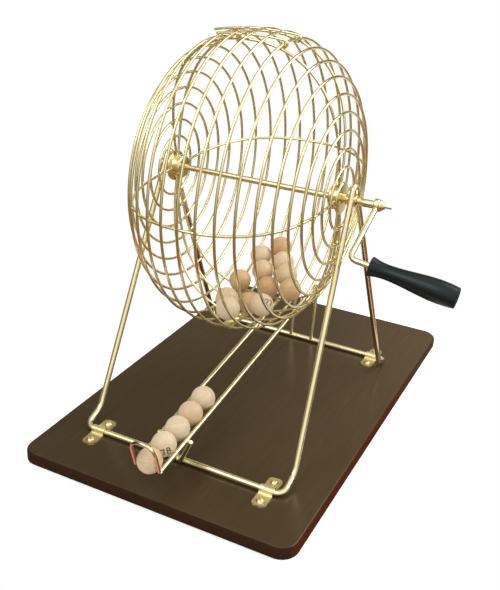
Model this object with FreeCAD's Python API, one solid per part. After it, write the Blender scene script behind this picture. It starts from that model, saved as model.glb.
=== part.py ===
"""Raffle drum: a wire cage on an axle in a bent-rod stand, with a crank and a ball chute.

Frame: X along the axle with the crank at +X, -Y to the front where the drawn balls
collect, +Z up. The origin is the centre of the board's underside. Millimetres.
"""
import FreeCAD, Part
import math
import os

Vec = FreeCAD.Vector
X_AXIS = Vec(1, 0, 0)
Y_AXIS = Vec(0, 1, 0)
Z_AXIS = Vec(0, 0, 1)

# ---------------------------------------------------------------- clearances
weld_gap = 0.05             # left between wires that are soldered together
running_gap = 0.06          # radial, shaft in bush
seat_gap = 0.02             # radial, parts that are pressed or screwed together
end_float = 0.30            # between faces that turn past each other
body_gap = 0.30             # between curved faces of parts that move apart
cut_over = 1.0              # cutters' overrun past a face

# ---------------------------------------------------------------- board
board_width = 269.6
board_depth = 419.0
board_thickness = 11.2
board_shift = 1.2           # board's middle from the stand's, towards the crank
board_corner_radius = 16.0
board_top_round = 3.0
board_bottom_round = 0.8

# ---------------------------------------------------------------- stand
stand_rod = 5.4
stand_half_width = 102.0    # centre line of the feet
stand_half_depth = 132.2    # centre line of the bars, from the axle
foot_run = 22.0             # foot from bar to leg
foot_rise = 8.0
apex_half_width = 94.4
apex_vertex_rise = 18.9     # sharp corner of the legs above the axle
bar_bend_radius = 8.0
foot_bend_radius = 14.0
apex_bend_radius = 4.4

strap_width = 13.0
strap_bend_gap = 0.3        # strap to the start of the bar's bend
strap_sheet = 1.0
strap_hole_offset = 14.0    # screw to rod, across the bar
strap_margin = 6.0          # past each screw
strap_corner_radius = 4.0
strap_hole = 3.6
screw_shank = 3.0
screw_length = 9.0
screw_head = 7.4
screw_head_height = 2.3

# ---------------------------------------------------------------- axle and crank
axle_height = 237.6
axle_y = -20.4
axle_diameter = 5.4
bush_length = 7.0
axle_left_overhang = 7.0    # beyond the left bush
collar_diameter = 9.6
collar_length = 5.0
crank_sleeve_diameter = 7.0
crank_sleeve_length = 15.6
crank_rod = 5.0
crank_eye_diameter = 11.8
crank_eye_width = 5.1
crank_throw = 67.0
crank_angle = 204.4         # from +Y towards +Z, about the axle
grip_splay = 3.4            # degrees, spindle outwards from the axle direction
grip_twist = 7.2            # degrees, spindle round the axle
crank_bend_radius = 6.5
stud_diameter = 3.0
stud_depth = 10.0           # screwed into the axle
stud_stickout = 6.0         # past the crank nut
crank_root = 1.0            # rod's end to the stud, inside the eye
nut_base_diameter = 10.6
nut_tip_diameter = 4.8
nut_length = 4.6
nut_rim = 1.0               # straight rim at the base
nut_tip_edge = 0.5
grip_start = 18.8           # from the crank corner along the spindle
grip_length = 73.6
grip_neck_diameter = 12.8
grip_inner_diameter = 16.6
grip_belly_diameter = 19.4
grip_outer_diameter = 17.4
grip_end_wall = 6.0
grip_edge = 0.8             # eased edges
grip_neck_share = 0.19      # of the grip's length
grip_belly_share = 0.80
set_screw_diameter = 2.6

# ---------------------------------------------------------------- cage
cage_x = -2.2               # middle of the cage along the axle
cage_half_length = 86.1
cage_radius = 136.3
profile_axial_power = 2.12
profile_radial_power = 3.34
ring_wire = 2.5
ring_pitch = 15.7           # along the cage's profile
rings_each_side = 10
meridian_wire = 2.4
meridian_angles = {
    "meridian_front": 182.0,
    "meridian_rear": 3.0,
    "meridian_top_front": 101.5,
    "meridian_top_rear": 84.0,
    "meridian_bottom_front": 263.0,
}
hub_flange_diameter = 29.0
hub_flange_thickness = 2.0
hub_barrel_diameter = 22.0
hub_barrel_length = 9.0
hub_chamfer = 1.2
hub_sag = 0.2               # wires' ends nearer the middle than their last ring
spacer_diameter = 9.0

# ---------------------------------------------------------------- exit
ball_diameter = 22.0
exit_angle = 277.0
exit_ring = -1              # the ring that the exit interrupts
exit_ball_clearance = 1.3   # radial
exit_sheet = 1.0
exit_height = 4.6
exit_stay_angle = 273.0
exit_lane_gap = 0.45        # collar to the meridian behind it

# ---------------------------------------------------------------- door
door_rings = (-2, -1, 0, 1)     # rings that the door opening interrupts
door_hinge_ring = 2
door_wire = 2.2
door_side_inset = 2.8       # degrees from the opening's meridians
door_stub_gap = 0.6         # a cut ring's end to the door's cross wire, over the meridian's middle
door_bow_radius = 260.0     # side wires' gentle bow
door_bow_middle = 2.0       # highest place, along the cage
door_rear_tip = -50.5       # the longer side wire is the finger lift
door_front_tip = -33.0
hinge_eye_wrap = 290.0      # degrees of wire round the hinge ring
hinge_play = 0.15           # radial, eye on the ring, above the body gap
clip_offset = -7.0          # along the cage
clip_width = 5.0
clip_sheet = 0.8
clip_drop = 7.5             # below the side wire
clip_hook = 1.7             # under the meridian
clip_clearance = 0.4
clip_play = 0.25            # radial, curl on the side wire
clip_shoulder = 1.0         # eased corner of the strip
clip_tail = 0.6             # last length bent back to the front

# ---------------------------------------------------------------- chute
chute_x = 1.5
rail_rod = 4.0
rail_half_gap = 12.4
rail_slope = 7.31           # degrees
rail_back_set = 7.6         # corner above the rear supports, behind the bar
rail_back_z = 82.3
rail_foot_set = -1.2        # foot of the rear supports from the bar's centre
rail_bend_radius = 7.0
arch_wire = 3.0
arch_foot_y = -206.4
arch_half_width = 11.6
arch_lean = 17.0            # degrees, top towards the front
arch_straight = 18.7        # from the rails' centre line to the half circle
arch_foot_drop = 0.5        # below the rails' centre line
saddle_wire = 4.0
saddle_set_forward = 4.0    # foot ahead of the bar's centre
saddle_lean = 14.0          # degrees, top towards the front
saddle_bend_radius = 3.2
saddle_overrun = 1.2        # wire past the point where it meets the rail
queue_count = 4
cage_ball_gap = 4.0         # loose balls to the ring line
cage_ball_margin = 0.5      # loose balls to the door's clip and eyes as they pass
cage_ball_places = (        # along the cage, degrees about the axle, height above the lowest seat
    (-22.2, 280.5, 2.7), (-18.0, 300.5, 3.7), (-6.5, 290.7, 1.0), (6.9, 282.4, 1.6), (-1.6, 308.0, 0.0),
    (9.6, 298.4, 8.2), (21.8, 288.9, 8.1), (34.2, 279.4, 3.8), (-8.0, 253.3, 2.1), (5.1, 242.6, 1.7),
    (4.6, 264.9, 0.0), (23.5, 259.2, 2.5),
)

# ---------------------------------------------------------------- derived places
bar_z = board_thickness + stand_rod / 2 + weld_gap
strap_half_spacing = stand_half_width - bar_bend_radius - strap_bend_gap - strap_width / 2
front_bar_y = axle_y - stand_half_depth
back_bar_y = axle_y + stand_half_depth
rail_back_y = back_bar_y + rail_back_set
rail_foot_y = back_bar_y + rail_foot_set
cage_centre = Vec(cage_x, axle_y, axle_height)
ball_radius = ball_diameter / 2
axle_radius = axle_diameter / 2
exit_inner = ball_radius + exit_ball_clearance
exit_outer = exit_inner + exit_sheet
meridian_inset = (ring_wire + meridian_wire) / 2 + weld_gap
exit_lane = exit_outer + meridian_wire / 2 + exit_lane_gap
meridian_angles["meridian_bottom_rear"] = exit_angle + math.degrees(math.asin(exit_lane / (cage_radius - meridian_inset)))
eye_bend_radius = (ring_wire + door_wire) / 2 + body_gap + hinge_play
bush_inner_x = apex_half_width - bush_length / 2
bush_outer_x = apex_half_width + bush_length / 2
eye_inner_x = bush_outer_x + end_float + crank_sleeve_length
eye_x = eye_inner_x + crank_eye_width / 2
axle_end_x = eye_inner_x - seat_gap


# ---------------------------------------------------------------- geometry helpers
def polar(x, radius, angle):
    """Point in the cage's frame: x along the axle, angle from +Y towards +Z."""
    a = math.radians(angle)
    return Vec(x, axle_y + radius * math.cos(a), axle_height + radius * math.sin(a))


def radial(angle):
    a = math.radians(angle)
    return Vec(0, math.cos(a), math.sin(a))


def tangential(angle):
    a = math.radians(angle)
    return Vec(0, -math.sin(a), math.cos(a))


def corner_arc(before, corner, after, radius):
    """Start, middle and end of the arc that rounds a corner."""
    u = (before - corner).normalize()
    v = (after - corner).normalize()
    half = math.acos(max(-1.0, min(1.0, u.dot(v)))) / 2
    run = radius / math.tan(half)
    bisector = (u + v).normalize()
    middle = corner + bisector * (radius / math.sin(half) - radius)
    return corner + u * run, middle, corner + v * run


def bent_path(points, radius_list):
    """Straight runs through the points, with a tangent arc at every inner point."""
    edges = []
    start = points[0]
    for i in range(1, len(points) - 1):
        first, middle, last = corner_arc(points[i - 1], points[i], points[i + 1], radius_list[i - 1])
        edges.append(Part.LineSegment(start, first).toShape())
        edges.append(Part.Arc(first, middle, last).toShape())
        start = last
    edges.append(Part.LineSegment(start, points[-1]).toShape())
    return Part.Wire(edges)


def flowing_path(points, tangents):
    """Tangent arcs, two to a span, through the points in their given directions."""
    edges = []
    for i in range(len(points) - 1):
        start, end = points[i], points[i + 1]
        t0, t1 = tangents[i], tangents[i + 1]
        span = end - start
        square = span.dot(span)
        along = span.dot(t0 + t1)
        turn = 2 * (1 - t0.dot(t1))
        if turn < 1e-9:
            reach = square / (2 * along)
        else:
            reach = (math.sqrt(along ** 2 + turn * square) - along) / turn
        first_corner = start + t0 * reach
        last_corner = end - t1 * reach
        joint = (first_corner + last_corner) * 0.5
        for before, corner, after in ((start, first_corner, joint), (joint, last_corner, end)):
            u = (before - corner).normalize()
            v = (after - corner).normalize()
            half = math.acos(max(-1.0, min(1.0, u.dot(v)))) / 2
            if math.pi / 2 - half < 1e-4:
                edges.append(Part.LineSegment(before, after).toShape())
            else:
                radius = reach * math.tan(half)
                middle = corner + (u + v).normalize() * (radius / math.sin(half) - radius)
                edges.append(Part.Arc(before, middle, after).toShape())
    return Part.Wire(edges)


def swept(path, diameter):
    """Round wire along a path."""
    first = path.OrderedEdges[0] if isinstance(path, Part.Wire) else path
    at = first.valueAt(first.FirstParameter)
    along = first.tangentAt(first.FirstParameter)
    section = Part.Wire([Part.makeCircle(diameter / 2, at, along)])
    wire = path if isinstance(path, Part.Wire) else Part.Wire([path])
    return wire.makePipeShell([section], True, False)


def bent_rod(points, radius_list, diameter):
    return swept(bent_path(points, radius_list), diameter)


def hoop(centre, axis, radius_vector, diameter, sweep=360.0):
    """Round wire bent to a circular arc, starting at centre + radius_vector."""
    start = centre + radius_vector
    along = axis.cross(radius_vector)
    section = Part.Face(Part.Wire([Part.makeCircle(diameter / 2, start, along)]))
    return section.revolve(centre, axis, sweep)


def cylinder(radius, length, base, axis):
    return Part.makeCylinder(radius, length, base, axis)


def turned(profile, origin, axis):
    """Solid of revolution from (distance along the axis, radius) corners."""
    side = axis.cross(Z_AXIS if abs(axis.z) < 0.9 else Y_AXIS).normalize()
    points = [origin + axis * along + side * radius for along, radius in profile]
    face = Part.Face(Part.makePolygon(points + [points[0]]))
    return face.revolve(origin, axis, 360)


def on_axle(x):
    return Vec(x, axle_y, axle_height)


# ---------------------------------------------------------------- cage profile
def profile_radius(x):
    """Radius of the ring line at a distance along the cage."""
    share = 1 - (abs(x) / cage_half_length) ** profile_axial_power
    return cage_radius * max(share, 0.0) ** (1 / profile_radial_power)


def profile_point(t):
    """Half profile from the middle (t = 0) to the end of the cage (t = 1)."""
    a = t * math.pi / 2
    x = cage_half_length * math.sin(a) ** (2 / profile_axial_power)
    r = cage_radius * math.cos(a) ** (2 / profile_radial_power)
    return x, r


def ring_stations():
    """Places of the rings from the middle outwards, one pitch apart along the profile."""
    steps = 6000
    stations = [(0.0, cage_radius)]
    last = (0.0, cage_radius)
    travelled = 0.0
    for i in range(1, steps + 1):
        here = profile_point(i / steps)
        travelled += math.hypot(here[0] - last[0], here[1] - last[1])
        last = here
        if travelled >= ring_pitch * len(stations) and len(stations) <= rings_each_side:
            stations.append(here)
    return stations


STATIONS = ring_stations()


def ring_station(index):
    x, r = STATIONS[abs(index)]
    return math.copysign(x, index) if index else 0.0, r


def inset_profile(inset):
    """Half profile moved inwards along its normal: (x, radius, tangent x, tangent radius)."""
    places = []
    for x, r in STATIONS:
        normal_x = (x / cage_half_length) ** (profile_axial_power - 1) * profile_axial_power / cage_half_length
        normal_r = (r / cage_radius) ** (profile_radial_power - 1) * profile_radial_power / cage_radius
        size = math.hypot(normal_x, normal_r)
        normal_x /= size
        normal_r /= size
        places.append((x - inset * normal_x, r - inset * normal_r, normal_r, -normal_x))
    return places


# ---------------------------------------------------------------- stand
def make_board():
    half_w = board_width / 2
    half_d = board_depth / 2
    board = Part.makeBox(board_width, board_depth, board_thickness, Vec(board_shift - half_w, -half_d, 0))
    uprights = [e for e in board.Edges if abs(e.tangentAt(e.FirstParameter).z) > 0.9]
    board = board.makeFillet(board_corner_radius, uprights)
    top = [e for e in board.Edges if min(v.Z for v in e.Vertexes) > board_thickness - 0.01]
    board = board.makeFillet(board_top_round, top)
    bottom = [e for e in board.Edges if max(v.Z for v in e.Vertexes) < 0.01]
    board = board.makeFillet(board_bottom_round, bottom)
    for x, y in screw_places():
        hole = cylinder(screw_shank / 2 + seat_gap, screw_length, Vec(x, y, board_thickness - screw_length), Z_AXIS)
        board = board.cut(hole)
    return board


def make_frame():
    """One rod bent into both bars, four feet and two pointed arches."""
    half = []
    for side in (1, -1):
        points = []
        radius_list = []
        for end in (-1, 1):
            bar_y = axle_y + end * stand_half_depth
            knee_y = axle_y + end * (stand_half_depth - foot_run)
            run = [Vec(0, bar_y, bar_z),
                   Vec(side * stand_half_width, bar_y, bar_z),
                   Vec(side * stand_half_width, knee_y, bar_z + foot_rise)]
            points += run if end < 0 else run[::-1]
            if end < 0:
                points.append(Vec(side * apex_half_width, axle_y, axle_height + apex_vertex_rise))
                radius_list = [bar_bend_radius, foot_bend_radius, apex_bend_radius]
        radius_list += [foot_bend_radius, bar_bend_radius]
        half.append(bent_rod(points, radius_list, stand_rod))
    return half[0].fuse(half[1]).removeSplitter()


def bush_radius():
    """Bush that fills the crook of the arch at the axle's height."""
    run = stand_half_depth - foot_run
    rise = axle_height + apex_vertex_rise - bar_z - foot_rise
    reach = apex_vertex_rise * run / math.hypot(run, rise)
    return reach - stand_rod / 2 - weld_gap


def make_bush(side):
    start = on_axle(min(side * bush_inner_x, side * bush_outer_x))
    body = cylinder(bush_radius(), bush_length, start, X_AXIS)
    bore = cylinder(axle_radius + running_gap, bush_length, start, X_AXIS)
    return body.cut(bore)


def strap_places():
    return [(sx * strap_half_spacing, axle_y + sy * stand_half_depth) for sx in (-1, 1) for sy in (-1, 1)]


def screw_places():
    return [(x, y + s * strap_hole_offset) for x, y in strap_places() for s in (-1, 1)]


def make_strap(x, y):
    """Two-hole saddle strap over a bar."""
    half = strap_width / 2
    reach = strap_hole_offset + strap_margin
    base = Vec(x - half, y - reach, board_thickness + weld_gap)
    strap = Part.makeBox(strap_width, 2 * reach, strap_sheet, base)
    corners = [e for e in strap.Edges if abs(e.tangentAt(e.FirstParameter).z) > 0.9]
    strap = strap.makeFillet(strap_corner_radius, corners)
    inner = stand_rod / 2 + weld_gap
    outer = inner + strap_sheet
    strap = strap.fuse(cylinder(outer, strap_width, Vec(x - half, y, bar_z), X_AXIS))
    strap = strap.fuse(Part.makeBox(strap_width, 2 * outer, bar_z - base.z, Vec(x - half, y - outer, base.z)))
    strap = strap.cut(cylinder(inner, strap_width, Vec(x - half, y, bar_z), X_AXIS))
    strap = strap.cut(Part.makeBox(strap_width, 2 * inner, bar_z, Vec(x - half, y - inner, 0)))
    for s in (-1, 1):
        strap = strap.cut(cylinder(strap_hole / 2, 4 * strap_sheet,
                                   Vec(x, y + s * strap_hole_offset, base.z - strap_sheet), Z_AXIS))
    return strap.removeSplitter()


def make_screw(x, y):
    """Domed wood screw through a strap's ear."""
    seat = board_thickness + weld_gap + strap_sheet + weld_gap
    shank = cylinder(screw_shank / 2, screw_length + seat - board_thickness - seat_gap,
                     Vec(x, y, board_thickness - screw_length + seat_gap), Z_AXIS)
    rim = screw_head / 2
    ball = (rim ** 2 + screw_head_height ** 2) / (2 * screw_head_height)
    dome = Part.makeSphere(ball, Vec(x, y, seat + screw_head_height - ball))
    block = Part.makeBox(2 * ball, 2 * ball, screw_head_height + cut_over, Vec(x - ball, y - ball, seat))
    return dome.common(block).fuse(shank).removeSplitter()


# ---------------------------------------------------------------- chute
def rail_height(y):
    return rail_back_z - (rail_back_y - y) * math.tan(math.radians(rail_slope))


def arch_up():
    lean = math.radians(arch_lean)
    return Vec(0, -math.sin(lean), math.cos(lean))


def arch_foot(side):
    """Where a leg's centre line meets the height of the rails' centre lines."""
    return Vec(chute_x + side * arch_half_width, arch_foot_y, rail_height(arch_foot_y))


def make_rail(side):
    """Rear support and sloping rail in one bent wire, coped onto the bar and the arch."""
    x = chute_x + side * rail_half_gap
    foot = Vec(x, rail_foot_y, bar_z)
    corner = Vec(x, rail_back_y, rail_back_z)
    front = Vec(x, arch_foot_y, rail_height(arch_foot_y))
    rail = bent_rod([foot, corner, front], [rail_bend_radius], rail_rod)
    bar = cylinder(stand_rod / 2 + weld_gap, 4 * rail_rod, Vec(x - 2 * rail_rod, back_bar_y, bar_z), X_AXIS)
    below = Part.makeBox(4 * rail_rod, 4 * rail_rod, bar_z, Vec(x - 2 * rail_rod, back_bar_y - 2 * rail_rod, 0))
    leg = cylinder(arch_wire / 2 + weld_gap, 8 * rail_rod, arch_foot(side) - arch_up() * 4 * rail_rod, arch_up())
    return rail.cut(bar).cut(below).cut(leg)


def make_arch():
    """Loop between the rails' front ends, leaning forward."""
    spring = [arch_foot(side) + arch_up() * arch_straight for side in (-1, 1)]
    toe = [arch_foot(side) - arch_up() * arch_foot_drop for side in (-1, 1)]
    crown = (spring[0] + spring[1]) * 0.5 + arch_up() * arch_half_width
    edges = [
        Part.LineSegment(toe[0], spring[0]).toShape(),
        Part.Arc(spring[0], crown, spring[1]).toShape(),
        Part.LineSegment(spring[1], toe[1]).toShape(),
    ]
    return swept(Part.Wire(edges), arch_wire)


def make_saddle():
    """Vee of wire on the front bar, leaning forward, with both rails lying inside it."""
    lean = math.radians(saddle_lean)
    up = Vec(0, -math.sin(lean), math.cos(lean))
    apart = (stand_rod + saddle_wire) / 2 + weld_gap
    foot = Vec(chute_x, front_bar_y - saddle_set_forward, bar_z + math.sqrt(apart ** 2 - saddle_set_forward ** 2))
    contact = (rail_rod + saddle_wire) / 2 + weld_gap
    sink = 0.0
    for _ in range(8):
        vertex = foot - up * sink
        climb = rail_height(vertex.y) - vertex.z
        climb = climb / (math.cos(lean) + math.sin(lean) * math.tan(math.radians(rail_slope)))
        spread = math.asin(contact / math.hypot(climb, rail_half_gap)) + math.atan2(rail_half_gap, climb)
        sink = saddle_bend_radius / math.sin(spread) - saddle_bend_radius
    length = rail_half_gap * math.sin(spread) + climb * math.cos(spread) + saddle_overrun
    arm = up * (length * math.cos(spread))
    out = X_AXIS * (length * math.sin(spread))
    return bent_rod([vertex + arm - out, vertex, vertex + arm + out], [saddle_bend_radius], saddle_wire)


def queue_centre(index, lift):
    """Ball lying on both rails, counted from the one that rests against the arch's legs."""
    slope = math.radians(rail_slope)
    lean = math.radians(arch_lean)
    reach = ball_radius + rail_rod / 2 + lift
    above = math.sqrt(reach ** 2 - rail_half_gap ** 2) / math.cos(slope)
    behind = math.sqrt((ball_radius + arch_wire / 2 + weld_gap) ** 2 - arch_half_width ** 2)
    run = (behind - above * math.sin(lean)) / (math.cos(lean) + math.tan(slope) * math.sin(lean))
    y = arch_foot_y + run + index * (ball_diameter + weld_gap) * math.cos(slope)
    return Vec(chute_x, y, rail_height(y) + above)


def make_ball(centre):
    return Part.makeSphere(ball_radius, centre)


def make_queue():
    return Part.makeCompound([make_ball(queue_centre(i, weld_gap)) for i in range(queue_count)])


def make_drawn_ball():
    """The last ball drawn, which can roll back up the chute."""
    slope = math.radians(rail_slope)
    centre = queue_centre(queue_count, body_gap)
    centre = centre + Vec(0, math.cos(slope), math.sin(slope)) * body_gap
    return make_ball(centre)


def cage_ball_radius(place):
    """Distance from the axle at which a loose ball clears everything that turns past it."""
    wires = profile_radius(place) - cage_ball_gap - ball_radius
    hinge_x, hinge_r = ring_station(door_hinge_ring)
    eye = eye_bend_radius + door_wire / 2
    clip_tip = bow_height(clip_offset) - clip_drop - clip_sheet / 2
    reaches = [wires]
    for middle, half, tip in ((clip_offset, clip_width / 2, clip_tip), (hinge_x, eye, hinge_r - eye)):
        beside = max(abs(place - middle) - half, 0.0)
        if beside < ball_radius:
            reaches.append(tip - cage_ball_margin - math.sqrt(ball_radius ** 2 - beside ** 2))
    return min(reaches)


def make_cage_balls():
    balls = []
    for place, angle, lift in cage_ball_places:
        balls.append(make_ball(polar(cage_x + place, cage_ball_radius(place) - lift, angle)))
    return Part.makeCompound(balls)


# ---------------------------------------------------------------- cage
def ring_gaps(index):
    """Angles where a ring is interrupted, as (start, end) pairs."""
    _, r = ring_station(index)
    gaps = []
    if index in door_rings:
        short = math.degrees(door_stub_gap / 2 / r)
        gaps.append((meridian_angles["meridian_top_rear"] - short,
                     meridian_angles["meridian_top_front"] + short))
    if index == exit_ring:
        half = math.degrees(math.asin((exit_outer + weld_gap) / (r - ring_wire / 2)))
        gaps.append((exit_angle - half, exit_angle + half))
    return gaps


def make_ring(index):
    x, r = ring_station(index)
    centre = on_axle(cage_x + x)
    gaps = ring_gaps(index)
    if not gaps:
        return [hoop(centre, X_AXIS, radial(90) * r, ring_wire)]
    arcs = []
    for i, gap in enumerate(gaps):
        following = gaps[(i + 1) % len(gaps)]
        sweep = (following[0] - gap[1]) % 360
        arcs.append(hoop(centre, X_AXIS, radial(gap[1]) * r, ring_wire, sweep))
    return arcs


def make_rings(indices):
    solids = []
    for index in indices:
        solids += make_ring(index)
    return Part.makeCompound(solids)


def meridian_path(angle, root):
    """Just inside the rings, from one hub to the other, ending at the root radius."""
    half = inset_profile(meridian_inset)
    last_x = half[-1][0]
    half.append((last_x - hub_sag, root, 0.0, -1.0))
    places = [(-x, r, tx, -tr) for x, r, tx, tr in half[:0:-1]] + half
    points = [polar(cage_x + x, r, angle) for x, r, _, _ in places]
    tangents = [X_AXIS * tx + radial(angle) * tr for _, _, tx, tr in places]
    return flowing_path(points, tangents)


def make_meridian(angle, root=hub_barrel_diameter / 2 + weld_gap):
    return swept(meridian_path(angle, root), meridian_wire)


def exit_frame():
    x, r = ring_station(exit_ring)
    return polar(cage_x + x, r, exit_angle), radial(exit_angle)


def make_exit_collar():
    """Short tube that lets one ball out between the bottom meridians."""
    centre, outward = exit_frame()
    base = centre - outward * (exit_height - ring_wire / 2)
    tube = cylinder(exit_outer, exit_height, base, outward)
    return tube.cut(cylinder(exit_inner, exit_height, base, outward))


def make_exit_stays():
    """Meridian that carries the exit collar, interrupted by it and wedged between its neighbours."""
    apart = min(abs(angle - exit_stay_angle) for angle in meridian_angles.values())
    root = (meridian_wire + weld_gap) / 2 / math.sin(math.radians(apart / 2))
    stay = make_meridian(exit_stay_angle, root)
    centre, outward = exit_frame()
    hole = cylinder(exit_outer + weld_gap, 8 * exit_height, centre - outward * 4 * exit_height, outward)
    return stay.cut(hole)


def hub_face():
    """Flange face that the wires end against, from the middle of the cage."""
    return inset_profile(meridian_inset)[-1][0] + meridian_wire / 2 + weld_gap


def make_hub(side):
    """Turned hub: outer flange that the wires are soldered to, and an inner barrel."""
    inner_face = hub_face()
    barrel_start = inner_face - hub_barrel_length
    barrel = hub_barrel_diameter / 2
    flange = hub_flange_diameter / 2
    bore = axle_radius + seat_gap
    outer_face = inner_face + hub_flange_thickness
    profile = [
        (barrel_start, bore), (barrel_start, barrel - hub_chamfer), (barrel_start + hub_chamfer, barrel),
        (inner_face, barrel), (inner_face, flange), (outer_face - hub_chamfer / 2, flange),
        (outer_face, flange - hub_chamfer / 2), (outer_face, bore),
    ]
    hub = turned(profile, on_axle(cage_x), X_AXIS * side)
    hole = cylinder(set_screw_diameter / 2 + seat_gap, barrel + cut_over, hub_screw_place(side), Z_AXIS)
    return hub.cut(hole)


def hub_outer_x(side):
    return cage_x + side * (hub_face() + hub_flange_thickness)


def hub_screw_place(side):
    return on_axle(cage_x + side * (hub_face() - hub_barrel_length / 2))


def make_set_screw(side):
    """Headless screw from the hub's barrel down to the axle."""
    length = hub_barrel_diameter / 2 - axle_radius - weld_gap
    return cylinder(set_screw_diameter / 2, length,
                    hub_screw_place(side) + Z_AXIS * (axle_radius + weld_gap), Z_AXIS)


def make_spacer(side):
    """Tube on the axle between the hub and the bush."""
    start = hub_outer_x(side) + side * weld_gap
    end = side * (bush_inner_x - end_float)
    tube = cylinder(spacer_diameter / 2, abs(end - start), on_axle(min(start, end)), X_AXIS)
    return tube.cut(cylinder(axle_radius + seat_gap, abs(end - start), on_axle(min(start, end)), X_AXIS))


def make_axle():
    left = -(bush_outer_x + axle_left_overhang)
    rod = cylinder(axle_radius, axle_end_x - left, on_axle(left), X_AXIS)
    ends = [e for e in rod.Edges if e.Curve.TypeId == "Part::GeomCircle" and e.Vertexes[0].X < left + 0.01]
    rod = rod.makeChamfer(hub_chamfer / 2, ends)
    return rod.cut(cylinder(stud_diameter / 2 + seat_gap, stud_depth, on_axle(axle_end_x - stud_depth), X_AXIS))


def make_end_collar():
    """Collar that keeps the axle in the left bush."""
    face = -(bush_outer_x + end_float)
    body = turned([(0, axle_radius + seat_gap), (0, collar_diameter / 2),
                   (collar_length - hub_chamfer / 2, collar_diameter / 2),
                   (collar_length, collar_diameter / 2 - hub_chamfer / 2),
                   (collar_length, axle_radius + seat_gap)], on_axle(face), X_AXIS * -1)
    hole = cylinder(set_screw_diameter / 2 + seat_gap, collar_diameter, on_axle(face - collar_length / 2), Z_AXIS)
    return body.cut(hole)


def make_collar_screw():
    face = -(bush_outer_x + end_float)
    place = on_axle(face - collar_length / 2) + Z_AXIS * (axle_radius + weld_gap)
    return cylinder(set_screw_diameter / 2, collar_diameter / 2 - axle_radius - weld_gap, place, Z_AXIS)


# ---------------------------------------------------------------- crank
def crank_corner():
    return on_axle(eye_x) + radial(crank_angle) * crank_throw


def grip_axis():
    outwards = radial(crank_angle) * math.tan(math.radians(grip_splay))
    round_axle = tangential(crank_angle) * math.tan(math.radians(grip_twist))
    return (X_AXIS + outwards + round_axle).normalize()


def make_crank_sleeve():
    start = on_axle(bush_outer_x + end_float)
    length = crank_sleeve_length - weld_gap
    tube = cylinder(crank_sleeve_diameter / 2, length, start, X_AXIS)
    return tube.cut(cylinder(axle_radius + seat_gap, length, start, X_AXIS))


def make_crank_arm():
    """Rod with an eye at the axle, bent over into the grip's spindle."""
    eye = cylinder(crank_eye_diameter / 2, crank_eye_width, on_axle(eye_inner_x), X_AXIS)
    rims = [e for e in eye.Edges if e.Curve.TypeId == "Part::GeomCircle"]
    eye = eye.makeFillet(crank_eye_width / 4, rims)
    spindle_end = crank_corner() + grip_axis() * (grip_start + grip_length - grip_end_wall)
    points = [on_axle(eye_x) + radial(crank_angle) * (stud_diameter / 2 + crank_root), crank_corner(), spindle_end]
    rod = bent_rod(points, [crank_bend_radius], crank_rod)
    bore = cylinder(stud_diameter / 2 + seat_gap, crank_eye_width + 2 * cut_over,
                    on_axle(eye_inner_x - cut_over), X_AXIS)
    return eye.fuse(rod).removeSplitter().cut(bore)


def make_stud():
    start = axle_end_x - stud_depth + seat_gap
    end = eye_inner_x + crank_eye_width + nut_length + stud_stickout
    return cylinder(stud_diameter / 2, end - start, on_axle(start), X_AXIS)


def make_nut():
    """Conical nut that clamps the crank's eye."""
    start = eye_inner_x + crank_eye_width + weld_gap
    bore = stud_diameter / 2 + seat_gap
    base = nut_base_diameter / 2
    tip = nut_tip_diameter / 2
    return turned([(0, bore), (0, base), (nut_rim, base), (nut_length - nut_tip_edge, tip + nut_tip_edge),
                   (nut_length, tip), (nut_length, bore)], on_axle(start), X_AXIS)


def make_grip():
    """Turned grip, free to spin on the spindle, with a blind bore."""
    axis = grip_axis()
    origin = crank_corner() + axis * grip_start
    side = axis.cross(radial(crank_angle + 90)).normalize()

    def place(along, radius):
        return origin + axis * along + side * radius

    shaft = crank_rod / 2 + running_gap
    depth = grip_length - grip_end_wall + end_float
    neck_at = grip_neck_share * grip_length
    belly_at = grip_belly_share * grip_length
    neck = grip_neck_diameter / 2
    belly = grip_belly_diameter / 2
    inner = grip_inner_diameter / 2
    end = grip_outer_diameter / 2
    eased = grip_edge * (1 - math.sqrt(0.5))
    outline = [(grip_edge, inner, (neck - inner) * 2 / (neck_at - grip_edge)), (neck_at, neck, 0.0),
               (belly_at, belly, 0.0), (grip_length - grip_edge, end, (end - belly) * 2 / (grip_length - belly_at))]
    points = [place(along, radius) for along, radius, _ in outline]
    tangents = [(axis + side * slope).normalize() for _, _, slope in outline]
    edges = [
        Part.LineSegment(place(0, shaft), place(0, inner - grip_edge)).toShape(),
        Part.LineSegment(place(0, inner - grip_edge), place(grip_edge, inner)).toShape(),
    ]
    edges += flowing_path(points, tangents).OrderedEdges
    edges += [
        Part.Arc(points[-1], place(grip_length - eased, end - eased), place(grip_length, end - grip_edge)).toShape(),
        Part.LineSegment(place(grip_length, end - grip_edge), place(grip_length, 0)).toShape(),
        Part.LineSegment(place(grip_length, 0), place(depth, 0)).toShape(),
        Part.LineSegment(place(depth, 0), place(depth, shaft)).toShape(),
        Part.LineSegment(place(depth, shaft), place(0, shaft)).toShape(),
    ]
    return Part.Face(Part.Wire(edges)).revolve(origin, axis, 360)


# ---------------------------------------------------------------- door
def door_middle():
    return (meridian_angles["meridian_top_front"] + meridian_angles["meridian_top_rear"]) / 2


def door_half_angle():
    span = meridian_angles["meridian_top_front"] - meridian_angles["meridian_top_rear"]
    return span / 2 - door_side_inset


def hinge_line():
    """A point on the hinge axis and its direction, on the chord between both eyes."""
    x, r = ring_station(door_hinge_ring)
    depth = r * math.cos(math.radians(door_half_angle()))
    return polar(cage_x + x, depth, door_middle()), tangential(door_middle())


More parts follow.
